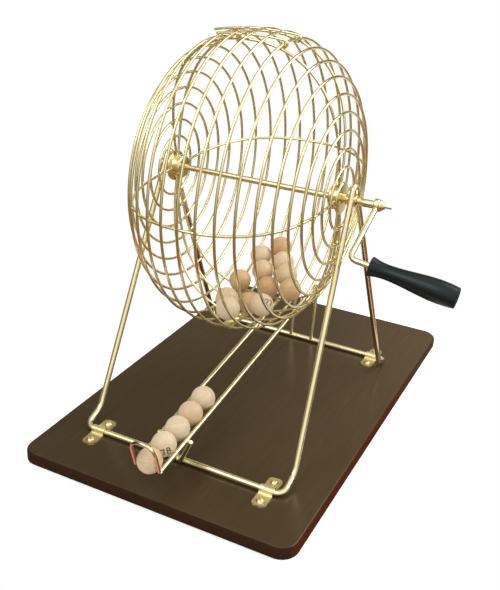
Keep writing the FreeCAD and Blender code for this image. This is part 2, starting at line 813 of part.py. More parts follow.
def door_place(x, height, across):
    """Point in the door's frame: along the cage, out from the axle, round towards the front."""
    mid = door_middle()
    return on_axle(cage_x + x) + radial(mid) * height + tangential(mid) * across


def hinge_height():
    _, r = ring_station(door_hinge_ring)
    return r * math.cos(math.radians(door_half_angle()))


def door_half_width():
    _, r = ring_station(door_hinge_ring)
    return r * math.sin(math.radians(door_half_angle()))


def bow_centre():
    """Height of the centre of the side wires' bow, which runs tangent into the eyes."""
    x, _ = ring_station(door_hinge_ring)
    return hinge_height() - math.sqrt((door_bow_radius - eye_bend_radius) ** 2 - (x - door_bow_middle) ** 2)


def bow_height(x):
    return bow_centre() + math.sqrt(door_bow_radius ** 2 - (x - door_bow_middle) ** 2)


def make_side_wire(across, tip):
    """Bowed wire from its tip to the hinge ring, then round it in an eye."""
    hinge_x, _ = ring_station(door_hinge_ring)
    height = hinge_height()
    lean = math.atan2(height - bow_centre(), hinge_x - door_bow_middle)

    def eye_point(turn):
        a = lean - math.radians(turn)
        return door_place(hinge_x + eye_bend_radius * math.cos(a), height + eye_bend_radius * math.sin(a), across)

    middle = (tip + hinge_x) / 2
    bow = Part.Arc(door_place(tip, bow_height(tip), across), door_place(middle, bow_height(middle), across),
                   eye_point(0))
    eye = Part.Arc(eye_point(0), eye_point(hinge_eye_wrap / 2), eye_point(hinge_eye_wrap))
    return swept(Part.Wire([bow.toShape(), eye.toShape()]), door_wire)


def make_door_sides():
    half = door_half_width()
    return Part.makeCompound([make_side_wire(-half, door_rear_tip), make_side_wire(half, door_front_tip)])


def make_door_crosses():
    """Cut-out lengths of the rings, soldered to the side wires and resting on the meridians."""
    low = meridian_angles["meridian_top_rear"]
    high = meridian_angles["meridian_top_front"]
    half = door_half_width()
    pieces = []
    for index in door_rings:
        x, r = ring_station(index)
        radius = r + (ring_wire - door_wire) / 2 - ring_wire / 2 - weld_gap + door_wire / 2 + body_gap
        short = math.degrees(door_stub_gap / 2 / r)
        arc = hoop(on_axle(cage_x + x), X_AXIS, radial(low + short) * radius, door_wire, high - low - 2 * short)
        for across in (-half, half):
            point = door_place(x, bow_height(x), across)
            slope = math.atan2(door_bow_middle - x, bow_height(x) - bow_centre())
            along = X_AXIS * math.cos(slope) + radial(door_middle()) * math.sin(slope)
            arc = arc.cut(cylinder(door_wire / 2 + weld_gap, 6 * door_wire, point - along * 3 * door_wire, along))
        pieces += arc.Solids
    return Part.makeCompound(pieces)


def thick_strip(points, thickness, width):
    """Sheet bent through the points, which are corners of its middle line, extruded along X."""
    left, right = [], []
    for i, point in enumerate(points):
        before = (point - points[i - 1]).normalize() if i else None
        after = (points[i + 1] - point).normalize() if i < len(points) - 1 else None
        n0 = X_AXIS.cross(before) if before else X_AXIS.cross(after)
        n1 = X_AXIS.cross(after) if after else n0
        mitre = (n0 + n1).normalize()
        offset = mitre * (thickness / 2 / mitre.dot(n0))
        left.append(point + offset)
        right.append(point - offset)
    face = Part.Face(Part.makePolygon(left + right[::-1] + [left[0]]))
    face.translate(X_AXIS * (-width / 2))
    return face.extrude(X_AXIS * width)


def make_clip():
    """Spring strip curled round the door's front side wire, hooked under the meridian."""
    half = door_half_width()
    pivot = door_place(clip_offset, bow_height(clip_offset), half)
    out = radial(door_middle())
    front = tangential(door_middle())
    wire_angle = math.radians(meridian_angles["meridian_top_front"] - door_middle())
    meridian_r = profile_radius(clip_offset) - meridian_inset
    ahead = meridian_r * math.sin(wire_angle) - half
    below = bow_height(clip_offset) - meridian_r * math.cos(wire_angle)
    inner = door_wire / 2 + clip_play
    outer = inner + clip_sheet
    shelf = inner + clip_sheet / 2
    clear = meridian_wire / 2 + clip_clearance + clip_sheet / 2
    start = pivot - X_AXIS * (clip_width / 2)
    curl = cylinder(outer, clip_width, start, X_AXIS)
    reach = ahead + clear
    line = [(0.0, shelf), (reach - clip_shoulder, shelf), (reach, shelf - clip_shoulder),
            (reach, -below - clip_shoulder), (reach - clip_hook, -below - clear - clip_hook),
            (reach - clip_hook + clip_tail, -clip_drop)]
    tongue = thick_strip([pivot + front * t + out * u for t, u in line], clip_sheet, clip_width)
    slot = cylinder(inner, clip_width, start, X_AXIS)
    mouth = Part.makeBox(clip_width, 2 * outer, outer, Vec(0, 0, 0))
    mouth.translate(start + Vec(0, -outer, -outer - inner * 0.5))
    mouth.rotate(start, X_AXIS, door_middle() - 90)
    return curl.fuse(tongue).cut(slot).cut(mouth).removeSplitter()


# ---------------------------------------------------------------- assembly
def build():
    nodes = {
        "base_board": make_board(),
        "support_frame": make_frame(),
        "axle_bush_left": make_bush(-1),
        "axle_bush_right": make_bush(1),
        "frame_straps": Part.makeCompound([make_strap(x, y) for x, y in strap_places()]),
        "strap_screws": Part.makeCompound([make_screw(x, y) for x, y in screw_places()]),
        "chute_rail_left": make_rail(-1),
        "chute_rail_right": make_rail(1),
        "chute_stop_arch": make_arch(),
        "chute_saddle": make_saddle(),
        "queue_balls": make_queue(),
        "drawn_ball": make_drawn_ball(),
        "cage_balls": make_cage_balls(),
        "drum_axle": make_axle(),
        "axle_end_collar": make_end_collar(),
        "set_screws": Part.makeCompound([make_set_screw(-1), make_set_screw(1), make_collar_screw()]),
        "hub_left": make_hub(-1),
        "hub_right": make_hub(1),
        "hub_spacer_left": make_spacer(-1),
        "hub_spacer_right": make_spacer(1),
        "cage_rings_left": make_rings(range(-rings_each_side, door_rings[0])),
        "cage_rings_door": make_rings(door_rings),
        "cage_rings_right": make_rings(range(door_hinge_ring, rings_each_side + 1)),
        "exit_collar": make_exit_collar(),
        "exit_stays": make_exit_stays(),
        "crank_sleeve": make_crank_sleeve(),
        "crank_arm": make_crank_arm(),
        "crank_stud": make_stud(),
        "crank_nut": make_nut(),
        "crank_grip": make_grip(),
        "door_side_wires": make_door_sides(),
        "door_cross_wires": make_door_crosses(),
        "door_clip": make_clip(),
    }
    for name, angle in meridian_angles.items():
        nodes[name] = make_meridian(angle)
    return nodes


if __name__ == "__main__":
    os.makedirs("parts", exist_ok=True)
    for name, shape in build().items():
        shape.exportStep("parts/%s.step" % name)
        print("%-24s %2d solids  %10.1f mm3  valid %s" % (name, len(shape.Solids), shape.Volume, shape.isValid()))
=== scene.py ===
"""Looks of the raffle drum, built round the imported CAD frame. Lengths are in millimetres
until a mesh is made. X runs along the axle to the crank, -Y to the chute's low end, Z up."""
import bpy
import math
import random
from mathutils import Matrix, Vector
from types import SimpleNamespace as Sizes
import numpy as np


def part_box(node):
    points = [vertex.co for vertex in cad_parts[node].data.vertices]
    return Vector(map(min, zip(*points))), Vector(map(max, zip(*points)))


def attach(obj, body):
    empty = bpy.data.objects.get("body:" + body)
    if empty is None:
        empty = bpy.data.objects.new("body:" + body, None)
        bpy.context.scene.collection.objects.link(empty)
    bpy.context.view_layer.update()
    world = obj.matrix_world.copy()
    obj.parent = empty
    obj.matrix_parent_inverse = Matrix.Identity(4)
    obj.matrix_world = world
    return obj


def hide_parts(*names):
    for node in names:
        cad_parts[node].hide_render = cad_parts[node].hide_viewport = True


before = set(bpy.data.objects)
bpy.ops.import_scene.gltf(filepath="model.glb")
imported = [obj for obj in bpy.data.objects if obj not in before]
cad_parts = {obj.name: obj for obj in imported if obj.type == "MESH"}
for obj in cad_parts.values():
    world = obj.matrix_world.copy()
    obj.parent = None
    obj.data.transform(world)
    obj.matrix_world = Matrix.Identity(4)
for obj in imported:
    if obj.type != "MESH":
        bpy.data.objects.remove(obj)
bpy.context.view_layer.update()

MM = 0.001
SEED = 11
rng = random.Random(SEED)


# ---------------------------------------------------------------- sizes shared with the CAD
BOARD = Sizes(width=269.6, depth=419.0, thick=11.2, shift=1.2, corner=16.0, top=3.0, bottom=0.8)
STAND = Sizes(rod=5.4, half_width=102.0, half_depth=132.2, foot_run=22.0, foot_rise=8.0,
              apex_half_width=94.4, apex_rise=18.9, bar_bend=8.0, foot_bend=14.0, apex_bend=4.4)
STRAP = Sizes(width=13.0, sheet=1.0, hole=14.0, margin=6.0, corner=4.0)
SCREW = Sizes(head=7.4, height=2.3, shank=3.0, length=9.0)
AXLE = Sizes(y=-20.4, z=237.6, rod=5.4)
HUB = Sizes(flange=29.0, sheet=2.0, barrel=22.0, length=9.0, chamfer=1.2, sag=0.2)
CAGE = Sizes(x=-2.2, half_length=86.1, radius=136.3, axial=2.12, radial=3.34, ring=2.5, meridian=2.4,
             pitch=15.7, rings=10)
MERIDIANS = {"meridian_front": 182.0, "meridian_rear": 3.0, "meridian_top_front": 101.5,
             "meridian_top_rear": 84.0, "meridian_bottom_front": 263.0}
EXIT = Sizes(angle=277.0, ring=-1, inner=12.3, sheet=1.0, height=4.6, stay=273.0, stay_side=30.0,
             lane_gap=0.45)
DOOR = Sizes(rings=(-2, -1, 0, 1), hinge_ring=2, wire=2.2, inset=2.8, stub_gap=0.6, bow=260.0,
             bow_middle=2.0, rear_tip=-50.5, front_tip=-33.0, wrap=290.0, eye_play=0.45)
CLIP = Sizes(offset=-7.0, width=5.0, sheet=0.8, drop=7.5, hook=1.7, clearance=0.4, play=0.25,
             shoulder=1.0, tail=0.6)
CHUTE = Sizes(x=1.5, rod=4.0, half_gap=12.4, slope=7.31, back_y=119.4, back_z=82.3, foot_y=110.6,
              bend=7.0, arch=3.0, arch_y=-206.4, arch_half=11.6, arch_lean=17.0, arch_straight=18.7,
              arch_drop=0.5, foot_rise=1.0, end_gap=0.4, saddle=4.0, forward=4.0, lean=14.0,
              saddle_bend=3.2, overrun=1.2)
CRANK = Sizes(rod=5.0, eye=11.8, eye_width=5.1, throw=67.0, angle=204.4, splay=3.4, twist=7.2, bend=6.5,
              stud=3.0, sleeve=7.0, nut_base=10.6, nut_tip=4.8, nut_length=4.6)
GRIP = Sizes(start=18.8, length=73.6, neck=12.8, inner=16.6, belly=19.4, outer=17.4, edge=0.8,
             end_wall=6.0, neck_share=0.19, belly_share=0.80)
COLLAR_RADIUS = 4.8
SPACER_RADIUS = 4.5
BALL_RADIUS = 11.0
WELD_GAP = 0.05
END_FLOAT = 0.30
RUNNING_FIT = 0.06
STUD_FIT = 0.02
BAR_Z = BOARD.thick + STAND.rod / 2 + WELD_GAP
FRONT_BAR_Y = AXLE.y - STAND.half_depth
BACK_BAR_Y = AXLE.y + STAND.half_depth
MERIDIAN_INSET = (CAGE.ring + CAGE.meridian) / 2 + WELD_GAP
EYE_BEND = (CAGE.ring + DOOR.wire) / 2 + DOOR.eye_play
EXIT_OUTER = EXIT.inner + EXIT.sheet
EXIT_LANE = EXIT_OUTER + CAGE.meridian / 2 + EXIT.lane_gap
DOOR_REAR, DOOR_FRONT = MERIDIANS["meridian_top_rear"], MERIDIANS["meridian_top_front"]
MERIDIANS["meridian_bottom_rear"] = EXIT.angle + math.degrees(
    math.asin(EXIT_LANE / (CAGE.radius - MERIDIAN_INSET)))
HUB_ROOT = HUB.barrel / 2 + WELD_GAP
STAY_APART = min(abs(angle - EXIT.stay) for angle in MERIDIANS.values())
STAY_ROOT = (CAGE.meridian + WELD_GAP) / 2 / math.sin(math.radians(STAY_APART / 2))


# ---------------------------------------------------------------- sizes that only the scene has
SCREW_CROSS = Sizes(half_width=0.42, reach=2.1, depth=1.1)
SCREW_THREAD = Sizes(start=2.2, stop=1.6, point=1.2, pitch=1.1, crest=0.22)
STUD_THREAD = Sizes(pitch=0.7, crest=0.2, flat=0.12)
SOCKET = Sizes(radius=1.3, across=1.3, depth=1.1, shown=3.0)
INK_LIFT = 0.025
LONGEST_RUN = 12.0
# How far each kind of solder bead reaches along, across and out.
SOLDER = Sizes(rail_foot=(2.3, 2.3, 1.4), arch=(1.8, 1.3, 0.9), saddle_foot=(3.0, 2.6, 0.9),
               saddle_arm=(2.4, 1.5, 0.8), collar=(1.5, 1.5, 0.8), stay=(1.4, 1.4, 0.7),
               crossing=(1.45, 1.35, 0.75), hub=(1.0, 1.7, 0.9), door=(1.35, 1.2, 1.7))


# ---------------------------------------------------------------- small geometry
def vec(x, y, z):
    return np.array([x, y, z], float)


X_AXIS, Y_AXIS, Z_AXIS = np.eye(3)


def unit(v):
    return v / np.linalg.norm(v)


def radial(angle):
    a = math.radians(angle)
    return vec(0, math.cos(a), math.sin(a))


def tangential(angle):
    a = math.radians(angle)
    return vec(0, -math.sin(a), math.cos(a))


def on_axle(x):
    return vec(x, AXLE.y, AXLE.z)


def polar(x, radius, angle):
    return on_axle(x) + radial(angle) * radius


def arc_points(centre, u, v, radius, start, end, count):
    """Points at angles from start to end, in degrees, where u is 0 and v is 90."""
    angles = np.radians(np.linspace(start, end, count))
    return [centre + radius * (math.cos(a) * u + math.sin(a) * v) for a in angles]


def bent_path(points, radii, steps=10):
    """Straight runs with a tangent arc at every inner point."""
    path = [points[0]]
    for i, radius in enumerate(radii, 1):
        u = unit(points[i - 1] - points[i])
        v = unit(points[i + 1] - points[i])
        half = math.acos(float(np.clip(u @ v, -1, 1))) / 2
        middle = unit(u + v)
        centre = points[i] + middle * (radius / math.sin(half))
        first = points[i] + u * (radius / math.tan(half)) - centre
        last = points[i] + v * (radius / math.tan(half)) - centre
        turn = math.pi - 2 * half
        for k in range(steps + 1):
            share = k / steps
            swung = math.sin((1 - share) * turn) * first + math.sin(share * turn) * last
            path.append(centre + swung / math.sin(turn))
    path.append(points[-1])
    return path


def hermite_path(points, tangents, steps):
    """Smooth curve through the points in their given directions."""
    path = [points[0]]
    for a, b, ta, tb in zip(points, points[1:], tangents, tangents[1:]):
        reach = np.linalg.norm(b - a)
        for k in range(1, steps + 1):
            s = k / steps
            path.append((2 * s ** 3 - 3 * s ** 2 + 1) * a + (s ** 3 - 2 * s ** 2 + s) * reach * ta
                        + (3 * s ** 2 - 2 * s ** 3) * b + (s ** 3 - s ** 2) * reach * tb)
    return path


def subdivided(path, longest):
    """The same path with long runs cut into pieces, so that the wire shades evenly."""
    out = [path[0]]
    for a, b in zip(path, path[1:]):
        count = max(1, math.ceil(np.linalg.norm(b - a) / longest))
        out += [a + (b - a) * k / count for k in range(1, count + 1)]
    return out


def left_of(line):
    """Unit sideways direction at every point of a flat line."""
    ahead = np.gradient(np.array(line), axis=0)
    ahead /= np.linalg.norm(ahead, axis=1)[:, None] + 1e-9
    return np.stack([-ahead[:, 1], ahead[:, 0]], 1)


def circle(centre, u, v, radius, sides):
    return [centre + radius * (math.cos(a) * u + math.sin(a) * v)
            for a in np.arange(sides) * 2 * math.pi / sides]


# ---------------------------------------------------------------- mesh parts
class Shape:
    """Vertices and faces of one piece, gathered from several parts."""

    def __init__(self):
        self.points = []
        self.faces = []
        self.slots = []

    def add(self, points, faces, slot=0):
        start = len(self.points)
        self.points += [tuple(float(c) for c in p) for p in points]
        self.faces += [tuple(start + i for i in face) for face in faces]
        self.slots += [slot] * len(faces)
        return self


def ring_faces(rings, sides, closed):
    """Quads between successive rings of vertices."""
    faces = []
    last = rings if closed else rings - 1
    for i in range(last):
        a = i * sides
        b = ((i + 1) % rings) * sides
        for j in range(sides):
            k = (j + 1) % sides
            faces.append((a + j, a + k, b + k, b + j))
    return faces


def grid_faces(grid, flip):
    """Quads between neighbouring entries of a grid of vertex numbers."""
    corners = (grid[:-1, :-1], grid[:-1, 1:], grid[1:, 1:], grid[1:, :-1])
    quads = zip(*(corner.ravel().tolist() for corner in corners))
    return [quad[::-1] if flip else quad for quad in quads]


def transported(path, closed):
    """Tangent and side directions along a path, turning as little as possible."""
    p = np.array(path)
    if closed:
        ahead = np.roll(p, -1, 0) - np.roll(p, 1, 0)
    else:
        ahead = np.gradient(p, axis=0)
    ahead /= np.linalg.norm(ahead, axis=1)[:, None]
    side = np.cross(ahead[0], Z_AXIS if abs(ahead[0][2]) < 0.9 else X_AXIS)
    sides = []
    for t in ahead:
        side = unit(side - t * (side @ t))
        sides.append(side)
    sides = np.array(sides)
    if closed:
        back = unit(sides[-1] - ahead[0] * (sides[-1] @ ahead[0]))
        twist = math.atan2(np.cross(back, sides[0]) @ ahead[0], back @ sides[0])
        for i, t in enumerate(ahead):
            a = twist * i / len(ahead)
            sides[i] = math.cos(a) * sides[i] + math.sin(a) * np.cross(t, sides[i])
    return ahead, sides


def tube(shape, path, diameter, sides=14, closed=False):
    """Round wire with eased ends."""
    radius = diameter / 2
    ease = 0.18 * radius
    path = [np.array(q, float) for q in path]
    radii = [radius] * len(path)
    if not closed:
        first = unit(path[0] - path[1])
        last = unit(path[-1] - path[-2])
        path = [path[0], path[0] - first * ease] + path[1:-1] + [path[-1] - last * ease, path[-1]]
        radii = [radius - ease, radius] + radii[1:-1] + [radius, radius - ease]
    ahead, side = transported(path, closed)
    if not closed:
        ahead[0], ahead[1] = ahead[2], ahead[2]
        ahead[-1], ahead[-2] = ahead[-3], ahead[-3]
    points = []
    for q, t, u, r in zip(path, ahead, side, radii):
        points += circle(q, u, np.cross(t, u), r, sides)
    faces = ring_faces(len(path), sides, closed)
    if not closed:
        points += [path[0], path[-1]]
        low = len(points) - 2
        end = (len(path) - 1) * sides
        faces += [(low, (j + 1) % sides, j) for j in range(sides)]
        faces += [(low + 1, end + j, end + (j + 1) % sides) for j in range(sides)]
    return shape.add(points, faces)


def eased(outline, radii, steps=4):
    """Corners of a flat (along, across) outline rounded by arcs; the ends stay."""
    path = bent_path([vec(a, b, 0) for a, b in outline], [max(r, 1e-3) for r in radii], steps)
    return [(q[0], q[1]) for q in path]


def pipe_outline(start, end, inner, outer, rounding, steps=4):
    """Section of a plain tube, begun halfway up its start face so that all four corners are eased."""
    mid = (inner + outer) / 2
    corners = [(start, mid), (start, inner), (end, inner), (end, outer), (start, outer), (start, mid)]
    return eased(corners, rounding, steps)


def lathe(shape, outline, origin, axis, sides=48, closed=False):
    """Turned form from (along, radius) points; points at radius 0 close it on the axis."""
    axis = unit(axis)
    u = unit(np.cross(axis, Z_AXIS if abs(axis[2]) < 0.9 else Y_AXIS))
    v = np.cross(axis, u)
    points, faces, rows = [], [], []
    for along, radius in outline:
        if radius < 1e-6:
            rows.append([len(points)])
            points.append(origin + axis * along)
            continue
        rows.append(list(range(len(points), len(points) + sides)))
        points += circle(origin + axis * along, u, v, radius, sides)
    pairs = list(zip(rows, rows[1:])) + ([(rows[-1], rows[0])] if closed else [])
    for a, b in pairs:
        for j in range(sides):
            k = (j + 1) % sides
            if len(a) == 1:
                faces.append((a[0], b[j], b[k]))
            elif len(b) == 1:
                faces.append((a[j], b[0], a[k]))
            else:
                faces.append((a[j], b[j], b[k], a[k]))
    return shape.add(points, faces)


def bead(shape, centre, along, out, size, slot=1):
    """Small flattened bead of solder, in the piece's second material unless slot says otherwise."""
    sides, rows = 10, 6
    along = unit(along)
    out = unit(out - along * (out @ along))
    across = np.cross(out, along)
    points = [centre + out * size[2]]
    for i in range(1, rows):
        a = math.pi * i / rows
        level = centre + out * size[2] * math.cos(a)
        points += circle(level, along * size[0], across * size[1], math.sin(a), sides)
    points.append(centre - out * size[2])
    faces = [(0, 1 + j, 1 + (j + 1) % sides) for j in range(sides)]
    for i in range(rows - 2):
        a = 1 + i * sides
        b = a + sides
        faces += [(a + j, b + j, b + (j + 1) % sides, a + (j + 1) % sides) for j in range(sides)]
    a = 1 + (rows - 2) * sides
    faces += [(a + j, a + sides, a + (j + 1) % sides) for j in range(sides)]
    return shape.add(points, faces, slot)


def placed(name, data):
    """A new object with this data, linked into the scene."""
    obj = bpy.data.objects.new(name, data)
    bpy.context.scene.collection.objects.link(obj)
    return obj


def piece(name, shape, body, nodes, slot, *materials, sharp=40.0):
    """Puts a shape into the scene as a smooth-shaded piece that rides on its body."""
    mesh = bpy.data.meshes.new(name)
    mesh.from_pydata((np.array(shape.points) * MM).tolist(), [], shape.faces)
    mesh.validate()
    mesh.polygons.foreach_set("use_smooth", [True] * len(mesh.polygons))
    for material in materials:
        mesh.materials.append(material)
    mesh.polygons.foreach_set("material_index", shape.slots)
    mesh.set_sharp_from_angle(angle=math.radians(sharp))
    mesh.update()
    obj = placed(name, mesh)
    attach(obj, body)
    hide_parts(*nodes)
    return obj


def bevel_edges(obj, width, angle):
    bevel = obj.modifiers.new("edges", "BEVEL")
    bevel.width = width * MM
    bevel.segments = 2
    bevel.limit_method = "ANGLE"
    bevel.angle_limit = math.radians(angle)


def box_mm(node):
    """Low and high corner of a CAD node's box."""
    return tuple(np.array(corner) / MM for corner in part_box(node))


def run_along_axle(node):
    """Where a CAD node begins on the axle's line, and its length along it."""
    low, high = box_mm(node)
    return on_axle(low[0]), high[0] - low[0]


def solids(node):
    """Vertex arrays in millimetres of the separate solids of a CAD node."""
    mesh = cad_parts[node].data
    co = np.array([v.co for v in mesh.vertices]) / MM
    merged, inverse = np.unique(np.round(co, 3), axis=0, return_inverse=True)
    inverse = inverse.ravel()
    parent = list(range(len(merged)))

    def root(i):
        while parent[i] != i:
            parent[i] = parent[parent[i]]
            i = parent[i]
        return i

    for edge in mesh.edges:
        a = root(inverse[edge.vertices[0]])
        b = root(inverse[edge.vertices[1]])
        parent[a] = b
    groups = {}
    for i in range(len(merged)):
        groups.setdefault(root(i), []).append(i)
    found = [merged[g] for g in groups.values()]
    return sorted(found, key=lambda g: tuple(np.round(g.mean(0), 1)))


def middle(points):
    return (points.min(0) + points.max(0)) / 2


# ---------------------------------------------------------------- materials
class Nodes:
    """The node tree of a material or world, while it is put together."""

    def __init__(self, owner):
        owner.use_nodes = True
        self.owner = owner
        self.tree = owner.node_tree
        self.shader = self.tree.nodes.get("Principled BSDF")

    def fill(self, target, value):
        """Gives an input a value, or links it where the value is a socket; None leaves it alone."""
        if isinstance(value, bpy.types.NodeSocket):
            self.tree.links.new(value, target)
        elif value is not None:
            target.default_value = value

    def node(self, kind, *inputs, **named):
        """A new node: its inputs in order or by name, and any other name as a setting."""
        made = self.tree.nodes.new("ShaderNode" + kind)
        for key, value in named.items():
            label = key.replace("_", " ")
            if label in made.inputs:
                self.fill(made.inputs[label], value)
            else:
                setattr(made, key, value)
        for target, value in zip(made.inputs, inputs):
            self.fill(target, value)
        return made

    def shade(self, **values):
        for key, value in values.items():
            self.fill(self.shader.inputs[key.replace("_", " ")], value)

    def coordinates(self, scale=(1, 1, 1)):
        place = self.node("TexCoord").outputs["Object"]
        return self.node("Mapping", Vector=place, Scale=scale).outputs["Vector"]

    def noise(self, scale, detail=3.0, roughness=0.55, stretch=(1, 1, 1)):
        return self.node("TexNoise", Vector=self.coordinates(stretch), Scale=scale, Detail=detail,
                         Roughness=roughness).outputs["Fac"]

    def ramp(self, source, stops):
        made = self.node("ValToRGB", source)
        elements = made.color_ramp.elements
        while len(elements) < len(stops):
            elements.new(0.5)
        for element, (position, colour) in zip(elements, stops):
            element.position = position
            element.color = (*colour, 1.0)
        return made.outputs["Color"]

    def span(self, source, start, end, low=0.0, high=1.0, **settings):
        """start to end moved to low to high, and held there beyond."""
        return self.node("MapRange", source, start, end, low, high, **settings).outputs["Result"]

    def spread(self, texture, low, high):
        """The middle range of a texture moved to low to high."""
        return self.span(texture, 0.3, 0.7, low, high)

    def between(self, *places):
        """0 to 1 along each (axis, from, to), in millimetres, multiplied together."""
        share = None
        for axis, start, end in places:
            along = self.node("SeparateXYZ", self.coordinates()).outputs[axis]
            step = self.span(along, start * MM, end * MM, interpolation_type="SMOOTHSTEP")
            share = step if share is None else self.math("MULTIPLY", share, step)
        return share

    def math(self, operation, *inputs):
        return self.node("Math", *inputs, operation=operation).outputs[0]

    def blend(self, share, first, second, mode="MIX"):
        """A colour that passes from first to second with share."""
        return self.node("Mix", share, *[None] * 5, first, second, data_type="RGBA",
                         blend_type=mode).outputs[2]

    def bump(self, source, height, strength):
        made = self.node("Bump", Height=source, Strength=strength, Distance=height * MM)
        self.shade(Normal=made.outputs["Normal"])


def grey_stops(*stops):
    return [(position, (level,) * 3) for position, level in stops]


def plain_nodes(name, noise, stops, gloss=None, relief=None, **shader):
    """A material whose tone, gloss range and relief all follow one noise."""
    n = Nodes(bpy.data.materials.new(name))
    cloud = n.noise(*noise)
    n.shade(Base_Color=n.ramp(cloud, stops), **shader)
    if gloss:
        n.shade(Roughness=n.spread(cloud, *gloss))
    if relief:
        n.bump(cloud, *relief)
    return n


def brass_material(name, light, dark, roughness, scale, stretch=(1, 1, 1), bump=0.004, painted_reflection_tones=None, where=()):
    """Plated wire or sheet, whose colour may pass into painted reflection tones where each (axis, from, to)
    says.
    """
    n = Nodes(bpy.data.materials.new(name))
    patch = n.noise(22.0, 4.0)
    colour = n.ramp(patch, [(0.32, dark), (0.62, light)])
    # Painted reflection: tones that stand in for what this part of the wire mirrors, a dark surround or a
    # bright highlight.
    if painted_reflection_tones:
        colour = n.blend(n.between(*where), colour, n.ramp(patch, [(0.32, painted_reflection_tones[1]), (0.62, painted_reflection_tones[0])]))
    fine = n.noise(scale, 5.0, 0.6, stretch)
    n.shade(Metallic=1.0, Base_Color=colour, Roughness=n.spread(fine, roughness * 0.75, roughness * 1.35))
    n.bump(fine, bump, 0.35)
    return n.owner


def lacquer_material(name, tones, roughness, coat, painted_light_tones=None, sides=None, painted_light_back_sides=None):
    """Stained wood under a satin lacquer, with its grain along the board.

    It may be painted lighter towards the back right corner, a painted light standing in for more light
    falling there. On the long sides it is redder, most of all in front, and lighter towards the back: partly
    stain, partly painted light."""
    n = Nodes(bpy.data.materials.new(name))
    grain = n.noise(38.0, 6.0, 0.62, (9.0, 0.55, 9.0))

    def grained(tones):
        return n.ramp(grain, list(zip((0.30, 0.55, 0.75), tones)))

    colour = grained(tones)
    # Painted light: the top lightens towards the back right corner, standing in for more light falling there.
    if painted_light_tones:
        colour = n.blend(n.between(("X", -60, 150), ("Y", -200, 150)), colour, grained(painted_light_tones))
    # Partly stain, partly painted light: the long sides are redder than the front edge, and painted lighter
    # towards the back where more light falls.
    if sides:
        side = n.blend(n.between(("Y", 150, 10)), grained(painted_light_back_sides), grained(sides))
        for sign in (1, -1):
            rim = BOARD.shift + sign * BOARD.width / 2
            colour = n.blend(n.between(("X", rim - sign * 5.0, rim - sign * 1.0)), colour, side)
    cloud = n.noise(7.0, 3.0)
    n.shade(Base_Color=colour, Roughness=n.spread(cloud, roughness * 0.85, roughness * 1.15),
            Specular_IOR_Level=coat)
    n.bump(n.noise(900.0, 2.0), 0.012, 0.25)
    return n.owner


def ball_material(name, deep, middle_tone, pale):
    """Turned hardwood: faint growth rings, short fine pores and a dry surface."""
    n = Nodes(bpy.data.materials.new(name))
    warp = n.noise(70.0, 4.0)
    rings = n.node("TexWave", wave_type="RINGS", rings_direction="Z", Vector=n.coordinates((1.0, 1.0, 0.18)),
                   Scale=190.0, Distortion=2.4, Detail=3.0, Detail_Scale=1.4).outputs["Fac"]
    tone = n.node("Mix", 0.80, None, rings, warp, data_type="FLOAT").outputs[0]
    colour = n.ramp(tone, [(0.22, deep), (0.48, middle_tone), (0.75, pale)])
    pores = n.noise(1500.0, 2.0, 0.5, (1.0, 1.0, 0.09))
    speck = n.ramp(pores, [(0.58, (1.0, 1.0, 1.0)), (0.72, (0.86, 0.80, 0.73))])
    n.shade(Base_Color=n.blend(0.7, colour, speck, "MULTIPLY"), Roughness=n.spread(warp, 0.28, 0.40),
            Subsurface_Weight=0.06, Subsurface_Scale=0.002, Specular_IOR_Level=0.42)
    n.bump(pores, 0.015, 0.35)
    return n.owner


def grip_material():
    """Black satin lacquer over turned wood, with faint lathe lines."""
    n = plain_nodes("black_satin", (60.0, 4.0), [(0.3, (0.006, 0.008, 0.007)), (0.7, (0.009, 0.012, 0.011))],
                    gloss=(0.30, 0.37), IOR=1.33, Specular_Tint=(0.80, 0.93, 1.0, 1.0))
    facing = n.node("LayerWeight", Blend=0.5).outputs["Facing"]
    n.shade(Specular_IOR_Level=n.ramp(facing, grey_stops((0.30, 0.60), (0.62, 0.22), (0.85, 0.02))))
    n.bump(n.noise(1200.0, 2.0, 0.5, (1.0, 0.1, 0.1)), 0.01, 0.3)
    return n.owner


ROD_TONES = ((0.87, 0.795, 0.52), (0.79, 0.69, 0.40))
wire_brass = brass_material("brass_wire", (0.84, 0.755, 0.45), (0.74, 0.62, 0.315), 0.19, 260.0)
rod_brass = brass_material("brass_rod", *ROD_TONES, 0.19, 180.0)
# Painted reflection: the rear legs turn darker copper-brown above the bar, standing in for the dark board
# they mirror.
stand_brass = brass_material("brass_stand", *ROD_TONES, 0.19, 180.0, where=(("Y", -12, 40), ("Z", 22, 60)),
                             painted_reflection_tones=((0.62, 0.40, 0.235), (0.52, 0.31, 0.165)))
axle_brass = brass_material("brass_axle", (0.74, 0.655, 0.395), (0.65, 0.55, 0.29), 0.30, 240.0)
turned_brass = brass_material("brass_turned", (0.82, 0.70, 0.40), (0.74, 0.59, 0.30), 0.20, 900.0,
                              (6.0, 1.0, 1.0))
sheet_brass = brass_material("brass_sheet", (0.88, 0.78, 0.46), (0.81, 0.69, 0.37), 0.33, 320.0,
                             (1.0, 3.0, 1.0), 0.002)
solder_brass = brass_material("brass_solder", (0.79, 0.68, 0.38), (0.69, 0.55, 0.28), 0.28, 700.0)
